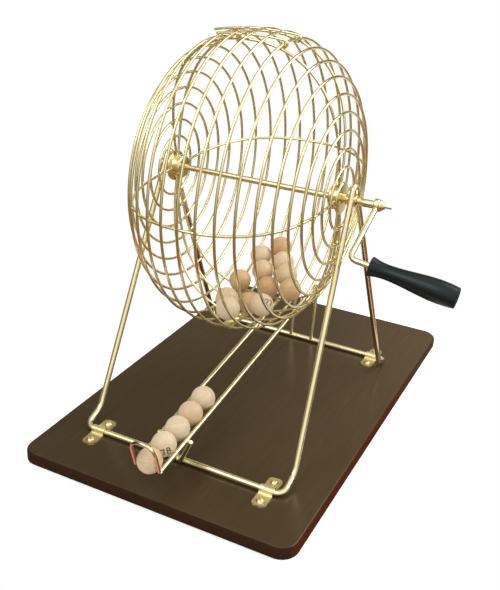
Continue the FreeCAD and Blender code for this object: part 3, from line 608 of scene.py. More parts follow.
# Painted highlight: the arch's top right turns to pale brass, standing in for a highlight on the copper-red
# wire.
copper_brass = brass_material("brass_copper_red_painted_highlight", (0.46, 0.185, 0.09), (0.34, 0.11, 0.055), 0.15, 300.0,
                              where=(("X", -6, 4), ("Z", 59, 66)),
                              painted_reflection_tones=((0.84, 0.70, 0.45), (0.70, 0.50, 0.28)))
board_top = lacquer_material(
    "board_lacquer", ((0.054, 0.0335, 0.0145), (0.061, 0.0385, 0.0172), (0.068, 0.0435, 0.0200)),
    0.24, 0.28,
    # Painted light: lighter tones towards the back right corner, standing in for more light falling there.
    painted_light_tones=((0.083, 0.0530, 0.0270), (0.092, 0.0600, 0.0310), (0.101, 0.0670, 0.0350)))
board_edge = lacquer_material(
    "board_edge_stain_and_painted_light", ((0.034, 0.0165, 0.0085), (0.043, 0.0205, 0.0110), (0.052, 0.0245, 0.0135)),
    0.42, 0.0,
    # Long sides: redder in front and painted lighter towards the back, partly stain and partly painted light.
    sides=((0.062, 0.0170, 0.0080), (0.078, 0.0215, 0.0105), (0.094, 0.0260, 0.0130)),
    painted_light_back_sides=((0.056, 0.0350, 0.0175), (0.064, 0.0400, 0.0200), (0.072, 0.0450, 0.0225)))
pale_wood = ball_material("wood_pale", (0.71, 0.53, 0.335), (0.785, 0.61, 0.405), (0.84, 0.685, 0.48))
straw_wood = ball_material("wood_straw", (0.63, 0.43, 0.235), (0.73, 0.535, 0.32), (0.79, 0.61, 0.395))
tan_wood = ball_material("wood_tan", (0.58, 0.34, 0.155), (0.67, 0.43, 0.215), (0.74, 0.52, 0.29))
ink = plain_nodes("printed_ink", (900.0, 3.0), [(0.35, (0.010, 0.009, 0.012)), (0.72, (0.040, 0.032, 0.030))],
                  gloss=(0.45, 0.7)).owner
black_satin = grip_material()
black_end = plain_nodes("black_end_grain", (300.0, 4.0),
                        [(0.3, (0.008, 0.009, 0.009)), (0.7, (0.016, 0.017, 0.017))],
                        relief=(0.01, 0.3), Roughness=0.7, IOR=1.2, Specular_IOR_Level=0.3).owner
steel = plain_nodes("bright_steel", (700.0, 4.0, 0.6, (1.0, 0.15, 0.15)),
                    [(0.3, (0.56, 0.56, 0.55)), (0.7, (0.70, 0.70, 0.69))],
                    gloss=(0.18, 0.32), relief=(0.006, 0.3), Metallic=1.0).owner


# ---------------------------------------------------------------- stand
def board_outline(inset, z, steps=14):
    half_w = BOARD.width / 2 - inset
    half_d = BOARD.depth / 2 - inset
    r = BOARD.corner - inset
    points = []
    for sx, sy, start in ((1, 1, 0), (-1, 1, 90), (-1, -1, 180), (1, -1, 270)):
        centre = vec(BOARD.shift + sx * (half_w - r), sy * (half_d - r), z)
        points += arc_points(centre, X_AXIS, Y_AXIS, r, start, start + 90, steps)
    return points


def make_board():
    """Outlines from the underside round the lower edge, up the side and over the upper edge."""
    top, bottom, thick = BOARD.top, BOARD.bottom, BOARD.thick
    under, inner, innermost = 0.5, 0.6, 2.5
    levels = [(bottom + under, 0.0)]
    levels += [(bottom * (1 - math.sin(a)), bottom * (1 - math.cos(a))) for a in np.radians([0, 30, 60, 90])]
    levels += [(top * (1 - math.cos(a)), thick - top * (1 - math.sin(a)))
               for a in np.radians(np.arange(0, 91, 10))]
    levels += [(top + inner, thick), (top + innermost, thick)]
    rows = [board_outline(inset, z) for inset, z in levels]
    sides = len(rows[0])
    faces = ring_faces(len(rows), sides, False)
    faces += [tuple(range((len(rows) - 1) * sides, len(rows) * sides)), tuple(range(sides))[::-1]]
    shape = Shape().add([q for row in rows for q in row], faces)
    stained_from, stained_to = 1, 11
    for i in range(stained_from * sides, stained_to * sides):
        shape.slots[i] = 1
    piece("board_panel", shape, "stand", ["base_board"], "board", board_top, board_edge, sharp=60)


def stand_corners():
    corners, radii = [], []
    for side, ends in ((1, (-1, 1)), (-1, (1, -1))):
        for end in ends:
            bar_y = AXLE.y + end * STAND.half_depth
            knee_y = AXLE.y + end * (STAND.half_depth - STAND.foot_run)
            toe = vec(side * STAND.half_width, bar_y, BAR_Z)
            knee = vec(side * STAND.half_width, knee_y, BAR_Z + STAND.foot_rise)
            first = end == ends[0]
            corners += [toe, knee] if first else [knee, toe]
            radii += [STAND.bar_bend, STAND.foot_bend] if first else [STAND.foot_bend, STAND.bar_bend]
            if first:
                corners.append(vec(side * STAND.apex_half_width, AXLE.y, AXLE.z + STAND.apex_rise))
                radii.append(STAND.apex_bend)
    return corners, radii


def make_stand_rod():
    corners, radii = stand_corners()
    start = vec(0, FRONT_BAR_Y, BAR_Z)
    path = bent_path([start] + corners + [start], radii, 14)
    path = subdivided(path, LONGEST_RUN)[:-1]
    shape = tube(Shape(), path, STAND.rod, sides=24, closed=True)
    piece("stand_rod", shape, "stand", ["support_frame"], "brass", stand_brass)


def turned_tube(name, node, body, radius, bore, rounding, sides=40):
    """Plain tube about the axle, as long as its CAD node."""
    start, length = run_along_axle(node)
    shape = lathe(Shape(), pipe_outline(0, length, bore, radius, rounding), start, X_AXIS, sides)
    piece(name, shape, body, [node], "brass", turned_brass)


def make_bushes():
    for name in ("axle_bush_left", "axle_bush_right"):
        low, high = box_mm(name)
        turned_tube(name + "_turned", name, "stand", (high[2] - low[2]) / 2, AXLE.rod / 2 + RUNNING_FIT,
                    [0.15, 0.15, 0.4, 0.4], sides=48)


def strap_section():
    """Middle line of a strap over the rod as (across, height above the bar's centre)."""
    reach = STRAP.hole + STRAP.margin
    over = STAND.rod / 2 + WELD_GAP + STRAP.sheet / 2
    ear = BOARD.thick + WELD_GAP + STRAP.sheet / 2 - BAR_Z
    bend = 1.6
    rim = [(reach - d, ear) for d in STRAP.corner * (1 - np.cos(np.radians(np.arange(0, 91, 15))))]
    shoulder = [(over + bend - bend * math.sin(a), ear + bend - bend * math.cos(a))
                for a in np.radians([0, 30, 60, 90])]
    saddle = [(over * math.cos(a), over * math.sin(a)) for a in np.radians(np.arange(0, 91, 10))]
    right = rim + shoulder + saddle
    return right + [(-a, b) for a, b in right[-2::-1]]


def make_strap(shape, centre):
    section = strap_section()
    rows, columns = len(section), 9
    reach = STRAP.hole + STRAP.margin
    points = []
    for side in (STRAP.sheet / 2, -STRAP.sheet / 2):
        for (across, height), (aside, above) in zip(section, left_of(section)):
            short = STRAP.corner - (reach - abs(across))
            cut = STRAP.corner - math.sqrt(STRAP.corner ** 2 - short ** 2) if short > 0 else 0.0
            half = STRAP.width / 2 - cut
            for x in half * np.linspace(-1, 1, columns):
                points.append(centre + vec(x, across - side * aside, height - side * above))
    grid = np.arange(2 * rows * columns).reshape(2, rows, columns)
    faces = grid_faces(grid[0], True) + grid_faces(grid[1], False)
    faces += grid_faces(grid[:, :, 0], False) + grid_faces(grid[:, :, -1], True)
    faces += grid_faces(grid[:, 0], True) + grid_faces(grid[:, -1], False)
    shape.add(points, faces)


def make_straps():
    shape = Shape()
    for solid in solids("frame_straps"):
        place = middle(solid)
        make_strap(shape, vec(place[0], place[1], BAR_Z))
    obj = piece("strap_plates", shape, "stand", ["frame_straps"], "brass", sheet_brass, sharp=50)
    bevel_edges(obj, 0.22, 50)


def screw_shape(shape, place, turn):
    """Domed wood screw with a cross recess; place is the middle of its seat."""
    rim = SCREW.head / 2
    ball = (rim ** 2 + SCREW.height ** 2) / (2 * SCREW.height)
    low = SCREW.height - ball
    sides, rings = 48, 14
    points, rows = [], []
    for i in range(rings + 1):
        r = rim * i / rings
        row = []
        for j in range(sides if i else 1):
            a = 2 * math.pi * j / sides
            z = low + math.sqrt(ball ** 2 - r ** 2)
            across, along = sorted((abs(r * math.cos(a)), abs(r * math.sin(a))))
            if across < SCREW_CROSS.half_width and along < SCREW_CROSS.reach:
                z -= SCREW_CROSS.depth * (1 - along / SCREW_CROSS.reach) ** 0.5
            row.append(len(points))
            points.append(place + vec(r * math.cos(a + turn), r * math.sin(a + turn), z))
        rows.append(row)
    skirt = [len(points) + j for j in range(sides)]
    points += circle(place, vec(math.cos(turn), math.sin(turn), 0), vec(-math.sin(turn), math.cos(turn), 0),
                     rim, sides)
    rows.append(skirt)
    faces = [(rows[0][0], rows[1][j], rows[1][(j + 1) % sides]) for j in range(sides)]
    for a, b in zip(rows[1:], rows[2:]):
        faces += [(a[j], b[j], b[(j + 1) % sides], a[(j + 1) % sides]) for j in range(sides)]
    faces.append(tuple(skirt[::-1]))
    shape.add(points, faces)
    crest = SCREW.shank / 2
    root = crest - SCREW_THREAD.crest
    outline = [(0, crest)]
    depth = SCREW_THREAD.start
    while depth < SCREW.length - SCREW_THREAD.stop:
        outline += [(-depth, root), (-(depth + SCREW_THREAD.pitch / 2), crest)]
        depth += SCREW_THREAD.pitch
    outline += [(SCREW_THREAD.point - SCREW.length, root), (-SCREW.length, 0)]
    lathe(shape, outline[::-1], place, Z_AXIS, sides=20)


def make_screws():
    shape = Shape()
    seat = BOARD.thick + WELD_GAP + STRAP.sheet + WELD_GAP
    for solid in solids("strap_screws"):
        x, y, _ = middle(solid)
        screw_shape(shape, vec(x, y, seat), rng.uniform(0, math.pi / 2))
    piece("strap_screw_heads", shape, "stand", ["strap_screws"], "brass", turned_brass, sharp=30)


# ---------------------------------------------------------------- chute
def rail_height(y):
    return CHUTE.back_z - (CHUTE.back_y - y) * math.tan(math.radians(CHUTE.slope))


def arch_foot(side):
    return vec(CHUTE.x + side * CHUTE.arch_half, CHUTE.arch_y, rail_height(CHUTE.arch_y))


def make_rails():
    for side, name in ((-1, "chute_rail_left"), (1, "chute_rail_right")):
        x = CHUTE.x + side * CHUTE.half_gap
        foot = vec(x, CHUTE.foot_y, BAR_Z + CHUTE.foot_rise)
        corner = vec(x, CHUTE.back_y, CHUTE.back_z)
        front_y = CHUTE.arch_y + CHUTE.end_gap
        front = vec(x, front_y, rail_height(front_y))
        path = subdivided(bent_path([foot, corner, front], [CHUTE.bend], 14), LONGEST_RUN)
        shape = tube(Shape(), path, CHUTE.rod, sides=20)
        bead(shape, vec(x, (foot[1] + BACK_BAR_Y) / 2, BAR_Z + 1.6), Z_AXIS, Y_AXIS, SOLDER.rail_foot)
        piece(name + "_wire", shape, "stand", [name], "brass", rod_brass, solder_brass)


def make_arch():
    """Loop at the low end of the rails, leaning forward."""
    up = tangential(CHUTE.arch_lean)
    left, right = arch_foot(-1), arch_foot(1)
    crown = (left + right) / 2 + up * CHUTE.arch_straight
    path = [right - up * CHUTE.arch_drop]
    path += arc_points(crown, X_AXIS, up, CHUTE.arch_half, 0, 180, 33)
    path += [left - up * CHUTE.arch_drop]
    shape = tube(Shape(), subdivided(path, 2.0), CHUTE.arch, sides=20)
    for side in (-1, 1):
        bead(shape, arch_foot(side) + vec(side * 0.5, 1.3, 0.2), up, Y_AXIS, SOLDER.arch)
    piece("stop_arch_wire", shape, "stand", ["chute_stop_arch"], "brass", copper_brass, solder_brass)


def make_saddle():
    """Vee of wire that stands on the front bar; its arms just touch the rails from below."""
    lean = math.radians(CHUTE.lean)
    up = tangential(CHUTE.lean)
    bar = vec(CHUTE.x, FRONT_BAR_Y, BAR_Z)
    apart = (STAND.rod + CHUTE.saddle) / 2 + WELD_GAP
    foot = bar + vec(0, -CHUTE.forward, math.sqrt(apart ** 2 - CHUTE.forward ** 2))
    contact = (CHUTE.rod + CHUTE.saddle) / 2 + WELD_GAP
    sink = 0.0
    for _ in range(8):
        vertex = foot - up * sink
        climb = rail_height(vertex[1]) - vertex[2]
        climb /= math.cos(lean) + math.sin(lean) * math.tan(math.radians(CHUTE.slope))
        spread = math.asin(contact / math.hypot(climb, CHUTE.half_gap)) + math.atan2(CHUTE.half_gap, climb)
        sink = CHUTE.saddle_bend / math.sin(spread) - CHUTE.saddle_bend
    reach = CHUTE.half_gap * math.sin(spread) + climb * math.cos(spread)
    rise, out = up * math.cos(spread), X_AXIS * math.sin(spread)
    length = reach + CHUTE.overrun
    ends = [vertex + (rise + side * out) * length for side in (-1, 1)]
    path = bent_path([ends[0], vertex, ends[1]], [CHUTE.saddle_bend], 12)
    shape = tube(Shape(), subdivided(path, 2.5), CHUTE.saddle, sides=20)
    bead(shape, (foot + bar) / 2 + vec(0, -0.4, 0.3), X_AXIS, foot - bar, SOLDER.saddle_foot)
    for side in (-1, 1):
        at = vertex + (rise + side * out) * reach
        rail = vec(CHUTE.x + side * CHUTE.half_gap, at[1], rail_height(at[1]))
        bead(shape, (at + rail) / 2, Y_AXIS, at - rail, SOLDER.saddle_arm)
    piece("saddle_wire", shape, "stand", ["chute_saddle"], "brass", rod_brass, solder_brass)


# ---------------------------------------------------------------- balls
def loop_points(cx, cy, rx, ry, start, end, count=14):
    angles = np.radians(np.linspace(start, end, count))
    return [(cx + rx * math.cos(a), cy + ry * math.sin(a)) for a in angles]


DIGITS = {
    "0": [loop_points(0.5, 0.8, 0.42, 0.8, 0, 360, 22)],
    "1": [[(0.2, 1.25), (0.55, 1.6), (0.55, 0.0)]],
    "2": [loop_points(0.5, 1.15, 0.43, 0.45, 165, -35) + [(0.08, 0.0), (0.95, 0.0)]],
    "3": [loop_points(0.45, 1.2, 0.40, 0.40, 150, -80), loop_points(0.45, 0.42, 0.47, 0.42, 85, -150)],
    "4": [[(0.72, 0.0), (0.72, 1.6), (0.05, 0.48), (1.0, 0.48)]],
    "5": [[(0.9, 1.6), (0.2, 1.6), (0.13, 0.9)] + loop_points(0.45, 0.5, 0.46, 0.5, 118, -150)],
    "6": [loop_points(0.5, 0.44, 0.42, 0.44, 0, 360, 20), loop_points(1.0, 0.6, 0.92, 1.0, 180, 108, 9)],
    "7": [[(0.05, 1.6), (0.95, 1.6), (0.38, 0.0)]],
    "8": [loop_points(0.5, 1.2, 0.36, 0.38, 0, 360, 18), loop_points(0.5, 0.42, 0.44, 0.42, 0, 360, 20)],
    "9": [loop_points(0.5, 1.16, 0.42, 0.44, 0, 360, 20), loop_points(0.0, 1.0, 0.92, 1.0, 0, -72, 9)],
}
DIGIT_SIZE = 3.7
DIGIT_STROKE = 0.95
DIGIT_STEP = 1.35


def stroke_strip(shape, line, facing, up, radius):
    """A printed stroke wrapped on a ball about its middle."""
    right = np.cross(up, facing)
    side = left_of(line) * DIGIT_STROKE / 2
    points = [radius * unit(facing + math.tan(u / radius) * right + math.tan(v / radius) * up)
              for edge in (line + side, line - side) for u, v in edge]
    count = len(line)
    faces = [(i, i + count, i + count + 1, i + 1) for i in range(count - 1)]
    shape.add(points, faces, slot=1)


def dense(line, longest=0.25):
    return np.array(subdivided([vec(u, v, 0) for u, v in line], longest))[:, :2]


def number_on_ball(shape, text, facing, up):
    facing = unit(facing)
    up = unit(up - facing * (up @ facing))
    width = DIGIT_STEP * (len(text) - 1) + 1.0
    for place, digit in enumerate(text):
        for stroke in DIGITS[digit]:
            line = [((u + place * DIGIT_STEP - width / 2) * DIGIT_SIZE, (v - 0.8) * DIGIT_SIZE)
                    for u, v in stroke]
            stroke_strip(shape, dense(line), facing, up, BALL_RADIUS + INK_LIFT)


def ball_shape(text, facing, up):
    """Turned ball with a number printed on one side."""
    rows = 36
    outline = [(-BALL_RADIUS * math.cos(a), BALL_RADIUS * math.sin(a))
               for a in (math.pi * i / rows for i in range(1, rows))]
    outline = [(-BALL_RADIUS, 0.0)] + outline + [(BALL_RADIUS, 0.0)]
    shape = lathe(Shape(), outline, vec(0, 0, 0), Z_AXIS, sides=56)
    number_on_ball(shape, text, facing, up)
    return shape


def random_turn():
    """A rotation matrix drawn evenly from all directions."""
    q = np.array([rng.gauss(0, 1) for _ in range(4)])
    w, x, y, z = q / np.linalg.norm(q)
    return np.array([[1 - 2 * (y * y + z * z), 2 * (x * y - w * z), 2 * (x * z + w * y)],
                     [2 * (x * y + w * z), 1 - 2 * (x * x + z * z), 2 * (y * z - w * x)],
                     [2 * (x * z - w * y), 2 * (y * z + w * x), 1 - 2 * (x * x + y * y)]])


def make_ball(name, solid, text, body, node, wood, facing, up, upright=False):
    """A ball whose grain is turned at random, or stands upright, and whose number looks along facing."""
    turn = random_turn()
    if upright:
        turn = np.eye(3)
    shape = ball_shape(text, turn.T @ unit(facing), turn.T @ unit(up))
    obj = piece(name, shape, body, [node], "ball", wood, ink)
    obj.rotation_mode = "QUATERNION"
    obj.matrix_world = Matrix.Translation(middle(solid) * MM) @ Matrix(turn.tolist()).to_4x4()
    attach(obj, body)


QUEUE_NUMBERS = ("31", "78", "14", "52")
DRAWN_NUMBER = "46"
TAN_BALLS = (0, 4, 5, 7, 11)
PALE_BALLS = (1, 6, 8, 10)
SHOWN_BALL = 10
CAGE_NUMBERS = ("5", "67", "23", "40", "12", "59", "36", "71", "8", "64", "27", "19")


def make_balls():
    queue = sorted(solids("queue_balls"), key=lambda g: middle(g)[1])
    woods = (straw_wood, pale_wood, pale_wood, straw_wood)
    under = vec(-0.3, 0.6, -0.75)
    for i, (solid, number, wood) in enumerate(zip(queue, QUEUE_NUMBERS, woods)):
        facing, up = (vec(0.66, -0.74, -0.02), vec(-0.30, -0.22, 1.0)) if i == 1 else (under, X_AXIS)
        make_ball("queue_ball_%d" % (i + 1), solid, number, "stand", "queue_balls", wood, facing, up,
                  upright=(i == 0))
    make_ball("drawn_ball_wood", solids("drawn_ball")[0], DRAWN_NUMBER, "drawn_ball", "drawn_ball",
              pale_wood, under, X_AXIS)
    for i, solid in enumerate(sorted(solids("cage_balls"), key=lambda g: middle(g)[0])):
        wood = tan_wood if i in TAN_BALLS else (pale_wood if i in PALE_BALLS else straw_wood)
        facing = unit(unit(under) + 0.75 * vec(*(rng.uniform(-1, 1) for _ in range(3))))
        if i == SHOWN_BALL:
            facing = vec(0.75, -0.30, 0.55)
        make_ball("cage_ball_%02d" % (i + 1), solid, CAGE_NUMBERS[i], "stand", "cage_balls", wood, facing,
                  vec(0.2, 0.5, 1.0))


# ---------------------------------------------------------------- cage
def profile_radius(x):
    share = 1 - (abs(x) / CAGE.half_length) ** CAGE.axial
    return CAGE.radius * max(share, 0.0) ** (1 / CAGE.radial)


def profile_point(t):
    a = t * math.pi / 2
    return (CAGE.half_length * math.sin(a) ** (2 / CAGE.axial),
            CAGE.radius * math.cos(a) ** (2 / CAGE.radial))


def ring_stations():
    steps = 6000
    stations = [(0.0, CAGE.radius)]
    last = stations[0]
    travelled = 0.0
    for i in range(1, steps + 1):
        here = profile_point(i / steps)
        travelled += math.hypot(here[0] - last[0], here[1] - last[1])
        last = here
        if travelled >= CAGE.pitch * len(stations) and len(stations) <= CAGE.rings:
            stations.append(here)
    return stations


STATIONS = ring_stations()


def ring_station(index):
    x, r = STATIONS[abs(index)]
    return (math.copysign(x, index) if index else 0.0), r


def station_normal(x, r):
    """Outward direction of the profile as (along the cage, away from the axle)."""
    nx = (x / CAGE.half_length) ** (CAGE.axial - 1) * CAGE.axial / CAGE.half_length
    nr = (r / CAGE.radius) ** (CAGE.radial - 1) * CAGE.radial / CAGE.radius
    size = math.hypot(nx, nr)
    return nx / size, nr / size


def inset_profile(inset):
    places = []
    for x, r in STATIONS:
        nx, nr = station_normal(x, r)
        places.append((x - inset * nx, r - inset * nr, nr, -nx))
    return places


def exit_frame():
    x, r = ring_station(EXIT.ring)
    return polar(CAGE.x + x, r, EXIT.angle), radial(EXIT.angle)


def hoop_points(x, radius, start, end, count):
    return arc_points(on_axle(CAGE.x + x), radial(0), radial(90), radius, start, end, count)


def ring_gaps(index):
    _, r = ring_station(index)
    gaps = []
    if index in DOOR.rings:
        short = math.degrees(DOOR.stub_gap / 2 / r)
        gaps.append((DOOR_REAR - short, DOOR_FRONT + short))
    if index == EXIT.ring:
        half = math.degrees(math.asin((EXIT_OUTER + WELD_GAP) / (r - CAGE.ring / 2)))
        gaps.append((EXIT.angle - half, EXIT.angle + half))
    return gaps


def ring_wire(shape, index, segments=168):
    x, r = ring_station(index)
    gaps = ring_gaps(index)
    if not gaps:
        tube(shape, hoop_points(x, r, 0, 360, segments + 1)[:-1], CAGE.ring, closed=True)
    for (_, start), (end, _) in zip(gaps, gaps[1:] + gaps[:1]):
        sweep = (end - start) % 360
        count = max(4, round(segments * sweep / 360))
        tube(shape, hoop_points(x, r, start, start + sweep, count), CAGE.ring)


def make_rings():
    last = CAGE.rings
    groups = (("cage_rings_left", range(-last, DOOR.rings[0])), ("cage_rings_door", DOOR.rings),
              ("cage_rings_right", range(DOOR.hinge_ring, last + 1)))
    for node, indices in groups:
        shape = Shape()
        for index in indices:
            ring_wire(shape, index)
        piece(node.replace("cage_", "") + "_wire", shape, "drum", [node], "brass", wire_brass)


def meridian_curve(angle, root=HUB_ROOT):
    half = inset_profile(MERIDIAN_INSET)
    half.append((half[-1][0] - HUB.sag, root, 0.0, -1.0))
    places = [(-x, r, tx, -tr) for x, r, tx, tr in half[:0:-1]] + half
    points = [polar(CAGE.x + x, r, angle) for x, r, _, _ in places]
    tangents = [X_AXIS * tx + radial(angle) * tr for _, _, tx, tr in places]
    return hermite_path(points, tangents, 6)


def make_meridians():
    for node, angle in MERIDIANS.items():
        shape = tube(Shape(), meridian_curve(angle), CAGE.meridian)
        piece(node + "_wire", shape, "drum", [node], "brass", wire_brass)


def off_exit_axis(place):
    """How far a place lies from the exit's centre along its axis, and sideways."""
    centre, outward = exit_frame()
    offset = place - centre
    along = offset @ outward
    return along, np.linalg.norm(offset - outward * along)


def make_exit():
    centre, outward = exit_frame()
    half_ring = CAGE.ring / 2
    outline = pipe_outline(half_ring - EXIT.height, half_ring, EXIT.inner, EXIT_OUTER, [0.3] * 4)
    shape = lathe(Shape(), outline, centre, outward, sides=72)
    across = tangential(EXIT.angle)
    for side in (-1, 1):
        seat = centre + across * side * (EXIT_OUTER + 0.3) + outward * -0.2
        bead(shape, seat, outward, across, SOLDER.collar)
    piece("exit_collar_tube", shape, "drum", ["exit_collar"], "brass", sheet_brass, solder_brass)

    runs = [[]]
    for q in subdivided(meridian_curve(EXIT.stay, STAY_ROOT), 0.6):
        along, aside = off_exit_axis(q)
        if along > -EXIT.stay_side and aside < EXIT_OUTER:
            runs.append([])
        else:
            runs[-1].append(q)
    shape = Shape()
    for run, end, beside in ((runs[0], -1, -3), (runs[-1], 0, 2)):
        tube(shape, run[:-1:4] + [run[-1]], CAGE.meridian)
        bead(shape, run[end], outward, unit(run[end] - run[beside]), SOLDER.stay)
    piece("exit_stay_wires", shape, "drum", ["exit_stays"], "brass", wire_brass, solder_brass)


def make_solder():
    """Beads where the rings cross the meridians."""
    shape = Shape()
    for index in range(-CAGE.rings, CAGE.rings + 1):
        x, r = ring_station(index)
        nx, nr = station_normal(abs(x), r)
        nx = math.copysign(nx, x) if x else 0.0
        for angle in list(MERIDIANS.values()) + [EXIT.stay]:
            out = X_AXIS * nx + radial(angle) * nr
            at = polar(CAGE.x + x, r, angle) - out * (CAGE.ring / 2)
            if off_exit_axis(at)[1] < EXIT_OUTER + 1:
                continue
            swell = rng.uniform(0.9, 1.15)
            along, across, high = SOLDER.crossing
            bead(shape, at, tangential(angle), out, (along * swell, across * swell, high), slot=0)
    piece("solder_beads", shape, "drum", [], "brass", solder_brass)


def hub_face():
    return inset_profile(MERIDIAN_INSET)[-1][0] + CAGE.meridian / 2 + WELD_GAP


def make_hubs():
    face = hub_face()
    start = face - HUB.length
    end = face + HUB.sheet
    barrel, flange, bore = HUB.barrel / 2, HUB.flange / 2, AXLE.rod / 2
    c = HUB.chamfer
    for side, node in ((-1, "hub_left"), (1, "hub_right")):
        outline = eased([(start, bore), (start, barrel - c), (start + c, barrel), (face, barrel),
                         (face, flange), (end - c / 2, flange), (end, flange - c / 2), (end, bore)],
                        [0.3, 0.3, 0.3, 0.25, 0.25, 0.25])
        shape = lathe(Shape(), outline, on_axle(CAGE.x), X_AXIS * side, sides=64, closed=True)
        for angle, root in [(angle, HUB_ROOT) for angle in MERIDIANS.values()] + [(EXIT.stay, STAY_ROOT)]:
            seat = polar(CAGE.x + side * (face - 0.9), root + 0.35, angle)
            bead(shape, seat, X_AXIS, radial(angle), SOLDER.hub)
        piece(node + "_turned", shape, "drum", [node], "brass", turned_brass, solder_brass)


def socket_head(shape, top, sides=36):
    """Top of a headless screw that looks up, with a six-sided socket."""
    outer = circle(top, X_AXIS, Y_AXIS, SOCKET.radius, sides)
    rim = []
    for j in range(sides):
        a = 2 * math.pi * j / sides
        hexagon = SOCKET.across / 2 / math.cos((a + math.pi / 6) % (math.pi / 3) - math.pi / 6)
        rim.append(top + hexagon * vec(math.cos(a), math.sin(a), 0))
    low = [q - Z_AXIS * SOCKET.shown for q in outer]
    floor = [q - Z_AXIS * SOCKET.depth for q in rim]
    faces = ring_faces(4, sides, False)
    faces += [tuple(range(3 * sides, 4 * sides)), tuple(range(sides))[::-1]]
    shape.add(low + outer + rim + floor, faces)


def make_set_screws():
    shape = Shape()
    for solid in solids("set_screws"):
        socket_head(shape, vec(middle(solid)[0], AXLE.y, solid.max(0)[2]))
    piece("set_screw_sockets", shape, "drum", ["set_screws"], "steel", steel, sharp=25)


def make_axle():
    start, length = run_along_axle("drum_axle")
    radius, chamfer = AXLE.rod / 2, 0.6
    outline = eased([(0, 0), (0, radius - chamfer), (chamfer, radius), (length, radius), (length, 0)],
                    [0.2, 0.2, 0.1])
    # Full rows over the far rim's last step, which is out of sight in the crank's sleeve.
    rim = outline[-4][0]
    full_rows = [(rim + (length - rim) * k / 24, radius) for k in range(1, 24)]
    outline = outline[:-3] + full_rows + outline[-3:]
    shape = lathe(Shape(), outline, start, X_AXIS, sides=32)
    piece("axle_rod", shape, "drum", ["drum_axle"], "brass", axle_brass)
    for name, node, outer, edge in (("end_collar_turned", "axle_end_collar", COLLAR_RADIUS, 0.35),
                                    ("hub_spacer_left_tube", "hub_spacer_left", SPACER_RADIUS, 0.2),
                                    ("hub_spacer_right_tube", "hub_spacer_right", SPACER_RADIUS, 0.2),
                                    ("crank_sleeve_tube", "crank_sleeve", CRANK.sleeve / 2, 0.35)):
        turned_tube(name, node, "drum", outer, radius, [0.1, 0.1, edge, edge])


# ---------------------------------------------------------------- crank
EYE_X = box_mm("crank_sleeve")[1][0] + WELD_GAP + CRANK.eye_width / 2
CRANK_CORNER = polar(EYE_X, CRANK.throw, CRANK.angle)


def grip_axis():
    outwards = radial(CRANK.angle) * math.tan(math.radians(CRANK.splay))
    round_axle = tangential(CRANK.angle) * math.tan(math.radians(CRANK.twist))
    return unit(X_AXIS + outwards + round_axle)


GRIP_AXIS = grip_axis()


def make_crank():
    half = CRANK.eye_width / 2
    outer = CRANK.eye / 2
    bore = CRANK.stud / 2 + STUD_FIT
    spindle_end = CRANK_CORNER + GRIP_AXIS * (GRIP.start + GRIP.length - GRIP.end_wall)
    start = on_axle(EYE_X) + radial(CRANK.angle) * (outer - 1.2)
    path = subdivided(bent_path([start, CRANK_CORNER, spindle_end], [CRANK.bend], 16), 8.0)
    shape = tube(Shape(), path, CRANK.rod, sides=24)
    outline = pipe_outline(0, CRANK.eye_width, bore, outer, [0.1, 0.1, 1.4, 1.4], 6)
    lathe(shape, outline, on_axle(EYE_X - half), X_AXIS)
    piece("crank_rod_wire", shape, "drum", ["crank_arm"], "brass", rod_brass)

    base, tip, length = CRANK.nut_base / 2, CRANK.nut_tip / 2, CRANK.nut_length
    outline = eased([(0, bore), (0, base), (1.0, base), (length - 0.6, tip + 0.4), (length, tip),
                     (length, bore)], [0.2, 0.3, 0.3, 0.25])
    shape = lathe(Shape(), outline, on_axle(EYE_X + half + WELD_GAP), X_AXIS, closed=True)
    piece("crank_nut_turned", shape, "drum", ["crank_nut"], "brass", turned_brass)

    start, length = run_along_axle("crank_stud")
    radius, crest, pitch = CRANK.stud / 2, STUD_THREAD.crest, STUD_THREAD.pitch
    outline = [(0, 0), (0, radius - crest)]
    x = pitch / 2
    while x < length - pitch:
        outline += [(x, radius), (x + STUD_THREAD.flat, radius), (x + pitch / 2, radius - crest)]
        x += pitch
    outline += [(length, radius - 2 * crest), (length, 0)]
    shape = lathe(Shape(), outline, start, X_AXIS, sides=28)
    piece("crank_stud_threads", shape, "drum", ["crank_stud"], "steel", steel)


